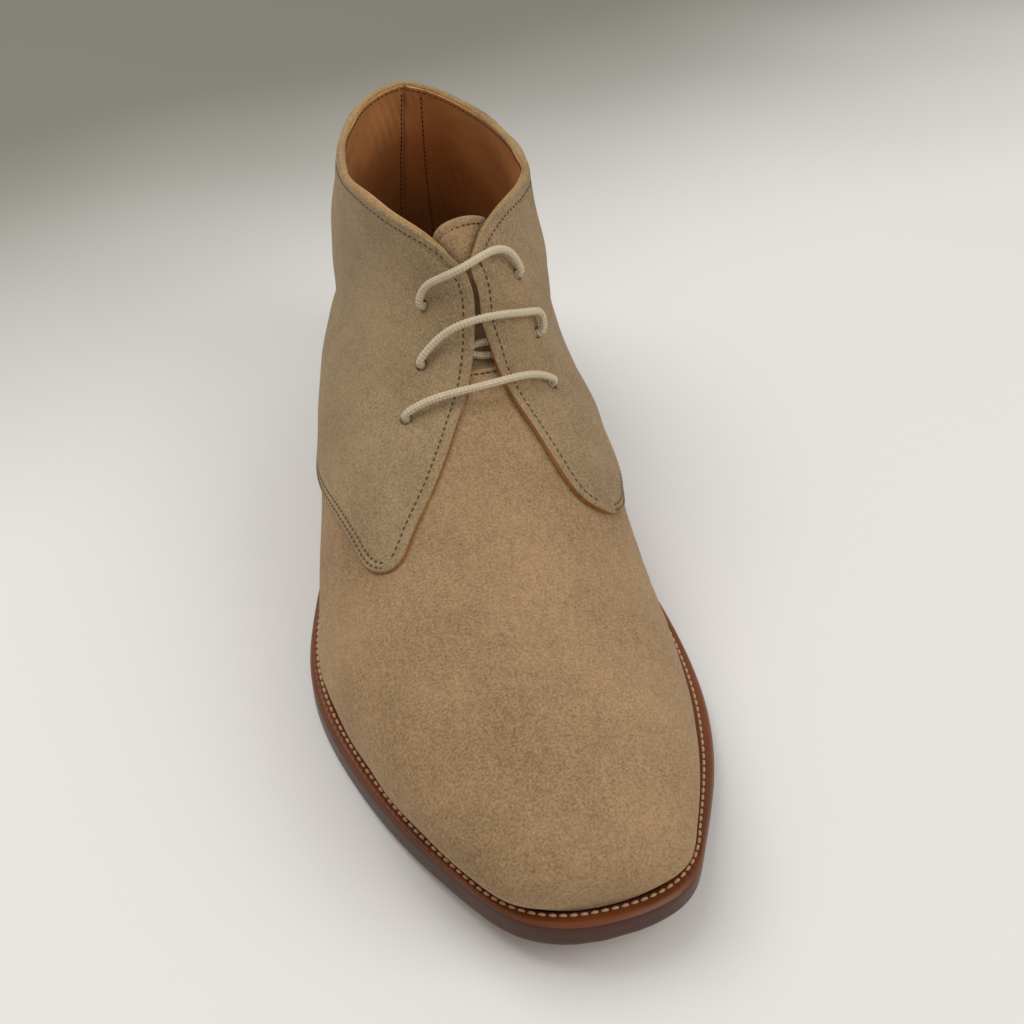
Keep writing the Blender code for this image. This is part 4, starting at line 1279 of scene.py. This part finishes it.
def build_outsole(sizes, colours):
    """The outsole: a polished edge with a fine bead, a rounded lower corner, and
    under it the stitched channel, a groove 7 mm in from the edge."""
    u = even_turns(421)
    ring = sole_ring(u)
    bands = [
        (0.0085, 0.0),
        (0.0073, 0.0),
        (0.0070, 0.00035),
        (0.0066, 0.00035),
        (0.0062, 0.0),
        (0.0030, 0.0),
        (0.0010, 0.0001),
        (0.00035, 0.0004),
        (0.0, 0.0011),
        (0.0, OUTSOLE * 0.5),
        (0.0, OUTSOLE),
    ]
    finishes = [
        hide("sole_bottom", colours.sole, 0.30, coat=0.35, darker=0.68, lighter=1.22, wear=0.35),
        edge_hide(colours),
        hide("channel", toned(colours.sole, 0.35), 0.7),
    ]
    kinds = [0, 0, 2, 0, 0, 0, 1, 1, 1, 1, 0, 0]
    layers = [raised(ring, width, over) for width, over in bands]
    carry(rings("outsole_leather", layers, finishes, kinds), "sole_leather", "outsole")
    rows = []
    line = raised(ring, CHANNEL, 0.00035)
    for part in (line[: len(u)], np.concatenate((line[len(u) - 1 :], line[:1]))):
        part = part[part[:, 1] < BREAST_Y - 0.006]
        rows.append(evenly(part, 0.0036, np.tile((0.0, 0.0, -1.0), (len(part), 1))))
    sewn = thread("channel_thread", toned(colours.sole, 0.5), 1800.0)
    carry(stitches("channel_stitching", rows, 0.0026, 0.0006, sewn, sink=0.35), "sole_leather")


def heel_ring(start, end, hollow):
    """Ring of a heel layer between two places along the sole. A straight end is
    hollowed towards the back in its middle."""
    stations = np.linspace(turn(start), turn(end), 90)
    y = -LENGTH / 2 * np.cos(np.pi * stations)
    centre, width = middle(stations), half(stations)
    outer = np.stack((centre + width, y, 0 * y), axis=-1)
    inner = np.stack((centre - width, y, 0 * y), axis=-1)[::-1]
    across = np.linspace(-1, 1, 61)[1:-1]

    def line(i, deep, way):
        share = across * way
        return np.stack((centre[i] + width[i] * share, y[i] + deep * (1 - share**2), 0 * share), axis=-1)

    back = line(-1, 0, -1) if end < 1 else np.empty((0, 3))
    inner = inner[1:] if end >= 1 else inner
    return np.concatenate((outer, back, inner, line(0, hollow, 1)))


def heel_layer(name, ring, bands, finishes, kinds):
    """Solid through a ring drawn in towards the heel's middle, by the heel's taper
    and by each band's own inset, with flat caps."""
    centre = np.array((float(middle(turn(RUBBER_FROM))), LENGTH * (RUBBER_FROM - 0.5), 0))
    size = LENGTH * (1 - BREAST) / 2
    layers = []
    for width, height in bands:
        taper = HEEL_TAPER * (1 - height / HEEL_HEIGHT)
        layers.append(at_height(centre + (ring - centre) * (1 - (taper + width) / size), height))
    return rings(name, layers, finishes, kinds, caps="flat", crease=20)


def build_heel(sizes, colours):
    """The heel: a stack of leather lifts with fine lines between them, over a
    lowest piece that is nailed leather in front and rubber behind."""
    side = hide("heel_edge", toned(colours.edge, 1.2), 0.28, coat=0.5, depth=0.00004, streak=140.0)
    under = hide("heel_leather", toned(colours.sole, 0.92), 0.36, coat=0.2, wear=0.6, streak=90.0)
    rubber = hide("heel_rubber", colours.rubber, 0.55, darker=0.8, lighter=1.5, depth=0.00005)
    whole = heel_ring(BREAST, 1, BREAST_CURVE)
    lift = (HEEL_HEIGHT - GAP - TOP_PIECE) / HEEL_LIFTS
    bands = []
    for low in TOP_PIECE + GAP + np.arange(HEEL_LIFTS) * lift:
        high = low + lift - GAP
        bands += [(0.00022, low), (0.0, low + 0.0003), (0.0, high - 0.0003), (0.00022, high)]
    piece = heel_layer("heel_stack", whole, bands, [side], [0] * (len(bands) + 1))
    carry(piece, "sole_leather", "heel_lift_1", "heel_lift_2", "heel_lift_3")
    top = TOP_PIECE
    low_bands = [(0.0005, 0.0), (0.00012, 0.0002), (0.0, 0.0006), (0.0, top - 0.0003), (0.00015, top)]
    front = heel_ring(BREAST, RUBBER_FROM - GAP / LENGTH, BREAST_CURVE)
    piece = heel_layer("heel_leather_front", front, low_bands, [under, side], [0, 1, 1, 1, 0, 0])
    carry(piece, "sole_leather", "heel_top_leather")
    rear = heel_ring(RUBBER_FROM, 1, 0)
    carry(heel_layer("heel_rubber_rear", rear, low_bands, [rubber], [0] * 6), "rubber", "heel_top_rubber")
    brass = hide("nail_head", (0.30, 0.20, 0.10), 0.45, darker=0.7, lighter=1.3)
    brass.node_tree.nodes["Principled BSDF"].inputs["Metallic"].default_value = 0.8
    heads = []
    for along in (0.795, 0.835, 0.875):
        at = turn(along)
        for way in (-1, 1):
            x = float(middle(at) + way * (half(at) - 0.0085))
            heads.append((x, LENGTH * (along - 0.5), 0.0))
    sides = NAIL_SIDES
    around = angles(sides)
    dome = [(0.00110, 0.0004), (0.00110, -0.00002), (0.00085, -0.00010), (0.0004, -0.00015)]
    points, faces = [], []
    for head in heads:
        start = len(points) * sides
        for radius, height in dome:
            circle = radius * np.stack((np.cos(around), np.sin(around), 0 * around), axis=-1)
            points.append(circle + np.array(head) + (0, 0, height))
        faces += (grid(len(dome), sides, wrap=True) + start).tolist()
        faces += [list(range(at, at + sides)) for at in (start, start + (len(dome) - 1) * sides)]
    points = np.concatenate(points)
    points[:, 2] = np.maximum(points[:, 2], 0)
    carry(piece_from("heel_nails", points, faces, [brass]), "sole_leather")


def build_sock(sizes, colours):
    """The insole with its leather sock: level, and turned down at its rim."""
    u = even_turns(261)
    ring = foot_ring(u)
    steps = np.linspace(0, 1, 200)
    width = doubled(wall(np.interp(u, read_last("ground", steps), steps))) + 0.0012
    top = WELT + OUTSOLE + 2 * GAP + INSOLE
    bands = [
        (width + 0.004, top - 0.0001),
        (width + 0.0012, top),
        (width + 0.0003, top - 0.0003),
        (width, top - 0.0009),
        (width, OUTSOLE + GAP),
    ]
    finish = hide("sock_leather", toned(colours.lining, 0.9), 0.5, depth=0.0001)
    layers = [raised(ring, wide, over) for wide, over in bands]
    carry(rings("sock", layers, [finish], [0] * 7), "sock", "insole")


# ---------------------------------------------------------------- stage

CAMERA_PLACE = np.array((-0.0591, -0.3145, 0.3016))
AIM = np.array((0.0112, -0.0218, 0.0400))
LENS = 46.35
# The floor's painted shade deepens away from the camera along this way.
FLOOR_SHADE_WAY = (-0.30, 0.892)  # the way from the camera in which the floor greys


def build_stage():
    """A pale floor with painted shade that darkens it towards the back, two soft lamps and the camera."""
    points = ((-4, -4, 0), (4, -4, 0), (4, 6, 0), (-4, 6, 0))
    made, make, shader, place = start_material("studio_floor", 0.62)
    # Painted shade: the floor's colour goes from pale to dark olive away from the camera.
    steps = make.add("ShaderNodeSeparateXYZ", {0: place})
    way = make.remap(make.noise(place, 3.0, 2.0), 0.0, 1.0, -0.06, 0.06)
    for axis, start, by in zip("XY", CAMERA_PLACE, FLOOR_SHADE_WAY):
        away = make.math("SUBTRACT", steps.outputs[axis], float(start))
        way = make.math("ADD", way, make.math("MULTIPLY", away, by))
    painted_shade_range = {"Value": way, 1: 0.34, 2: 0.66, 3: 0.0, 4: 1.0}
    share = make.add("ShaderNodeMapRange", painted_shade_range, interpolation_type="SMOOTHSTEP")
    tone = make.mix(share.outputs[0], (0.85, 0.838, 0.815, 1.0), (0.22, 0.21, 0.175, 1.0))
    speck = make.remap(make.noise(place, 900.0, 3.0, 0.7), 0.2, 0.8, 0.0, 0.05)
    make.tree.links.new(make.mix(speck, tone, (0.5, 0.48, 0.45, 1.0)), shader.inputs["Base Color"])
    floor = piece_from("floor", points, [[0, 1, 2, 3]], [made], tidy=False)
    target = (0, 0, 0.03)
    for name, place_at, size, power, colour in (
        ("key", (-0.45, 0.35, 1.25), 0.9, 8.0, (1.0, 0.98, 0.95)),
        ("fill", (0.95, -0.60, 1.0), 1.1, 7.0, (1.0, 0.99, 0.97)),
    ):
        lamp = bpy.data.lights.new(name, "AREA")
        lamp.shape, lamp.size, lamp.energy, lamp.color = "SQUARE", size, power, colour
        look(placed(name, lamp), np.array(place_at), np.array(target))
    world = bpy.data.worlds.new("studio")
    world.use_nodes = True
    sky = world.node_tree.nodes["Background"].inputs
    sky["Color"].default_value, sky["Strength"].default_value = (1.0, 0.985, 0.96, 1.0), 0.45
    bpy.context.scene.world = world
    lens = bpy.data.cameras.new("camera")
    lens.lens = LENS
    lens.clip_start = 0.01
    camera = placed("camera", lens)
    look(camera, CAMERA_PLACE, AIM)
    bpy.context.scene.camera = camera
    bpy.context.scene.view_settings.view_transform = "Standard"


def look(thing, place, target):
    """Put a lamp or a camera at a place, level, looking at a target."""
    thing.location = place
    thing.rotation_euler = Vector(target - place).to_track_quat("-Z", "Y").to_euler()


# ---------------------------------------------------------------- add-on


class ChukkaStep:
    """One step of the boot: calls its builder with the sizes and colours."""

    bl_options = {"REGISTER", "UNDO"}
    steps = ()

    def execute(self, context):
        for step in self.steps:
            step(context.scene.chukka_sizes, context.scene.chukka_colours)
        return {"FINISHED"}


class ChukkaUpper(ChukkaStep, bpy.types.Operator):
    """Vamp, quarters with their lace holes, lining and collar edge"""

    bl_idname = "chukka.upper"
    bl_label = "Upper"

    def execute(self, context):
        sizes, colours = context.scene.chukka_sizes, context.scene.chukka_colours
        build_vamp(sizes, colours)
        quarters = build_quarters(sizes, colours)
        lining = build_lining(sizes, colours)
        build_collar(sizes, colours)
        punch_holes([*quarters, lining], sizes, colours)
        return {"FINISHED"}


class ChukkaTongue(ChukkaStep, bpy.types.Operator):
    """Tongue under the lace"""

    bl_idname = "chukka.tongue"
    bl_label = "Tongue"
    steps = (build_tongue,)


class ChukkaLace(ChukkaStep, bpy.types.Operator):
    """Braided lace through the six holes"""

    bl_idname = "chukka.lace"
    bl_label = "Lace"
    steps = (build_lace,)


class ChukkaStitching(ChukkaStep, bpy.types.Operator):
    """Sewn rows of the upper"""

    bl_idname = "chukka.stitching"
    bl_label = "Stitching"
    steps = (build_stitching,)


class ChukkaWelt(ChukkaStep, bpy.types.Operator):
    """Welt with its stitches"""

    bl_idname = "chukka.welt"
    bl_label = "Welt"
    steps = (build_welt,)


class ChukkaOutsole(ChukkaStep, bpy.types.Operator):
    """Leather outsole with its stitched channel"""

    bl_idname = "chukka.outsole"
    bl_label = "Outsole"
    steps = (build_outsole,)


class ChukkaHeel(ChukkaStep, bpy.types.Operator):
    """Stacked heel with its leather and rubber lowest piece"""

    bl_idname = "chukka.heel"
    bl_label = "Heel"
    steps = (build_heel,)


class ChukkaSock(ChukkaStep, bpy.types.Operator):
    """Insole and leather sock"""

    bl_idname = "chukka.sock"
    bl_label = "Sock"
    steps = (build_sock,)


class ChukkaStage(bpy.types.Operator):
    """Floor, lamps and camera"""

    bl_idname = "chukka.stage"
    bl_label = "Stage"

    def execute(self, context):
        build_stage()
        return {"FINISHED"}


OPERATORS = (
    ChukkaUpper,
    ChukkaTongue,
    ChukkaLace,
    ChukkaStitching,
    ChukkaWelt,
    ChukkaOutsole,
    ChukkaHeel,
    ChukkaSock,
    ChukkaStage,
)


class ChukkaPanel(bpy.types.Panel):
    """Sizes, colours and steps of the boot"""

    bl_idname = "VIEW3D_PT_chukka"
    bl_label = "Chukka boot"
    bl_space_type = "VIEW_3D"
    bl_region_type = "UI"
    bl_category = "Chukka"

    def draw(self, context):
        for group_of in (context.scene.chukka_sizes, context.scene.chukka_colours):
            box = self.layout.box()
            for name in group_of.__annotations__:
                box.prop(group_of, name)
        for operator in OPERATORS:
            self.layout.operator(operator.bl_idname)


CLASSES = (ChukkaSizes, ChukkaColours, *OPERATORS, ChukkaPanel)


def register():
    """Register the classes, and hang the sizes and colours on the scene."""
    for kind in CLASSES:
        bpy.utils.register_class(kind)
    bpy.types.Scene.chukka_sizes = bpy.props.PointerProperty(type=ChukkaSizes)
    bpy.types.Scene.chukka_colours = bpy.props.PointerProperty(type=ChukkaColours)


def unregister():
    """Take the classes and the scene's properties away again."""
    del bpy.types.Scene.chukka_colours
    del bpy.types.Scene.chukka_sizes
    for kind in reversed(CLASSES):
        bpy.utils.unregister_class(kind)


def main():
    """Register the add-on, and build the boot and its stage."""
    register()
    bpy.ops.chukka.upper()
    bpy.ops.chukka.tongue()
    bpy.ops.chukka.lace()
    bpy.ops.chukka.stitching()
    bpy.ops.chukka.welt()
    bpy.ops.chukka.outsole()
    bpy.ops.chukka.heel()
    bpy.ops.chukka.sock()
    bpy.ops.chukka.stage()


if __name__ == "__main__":
    main()
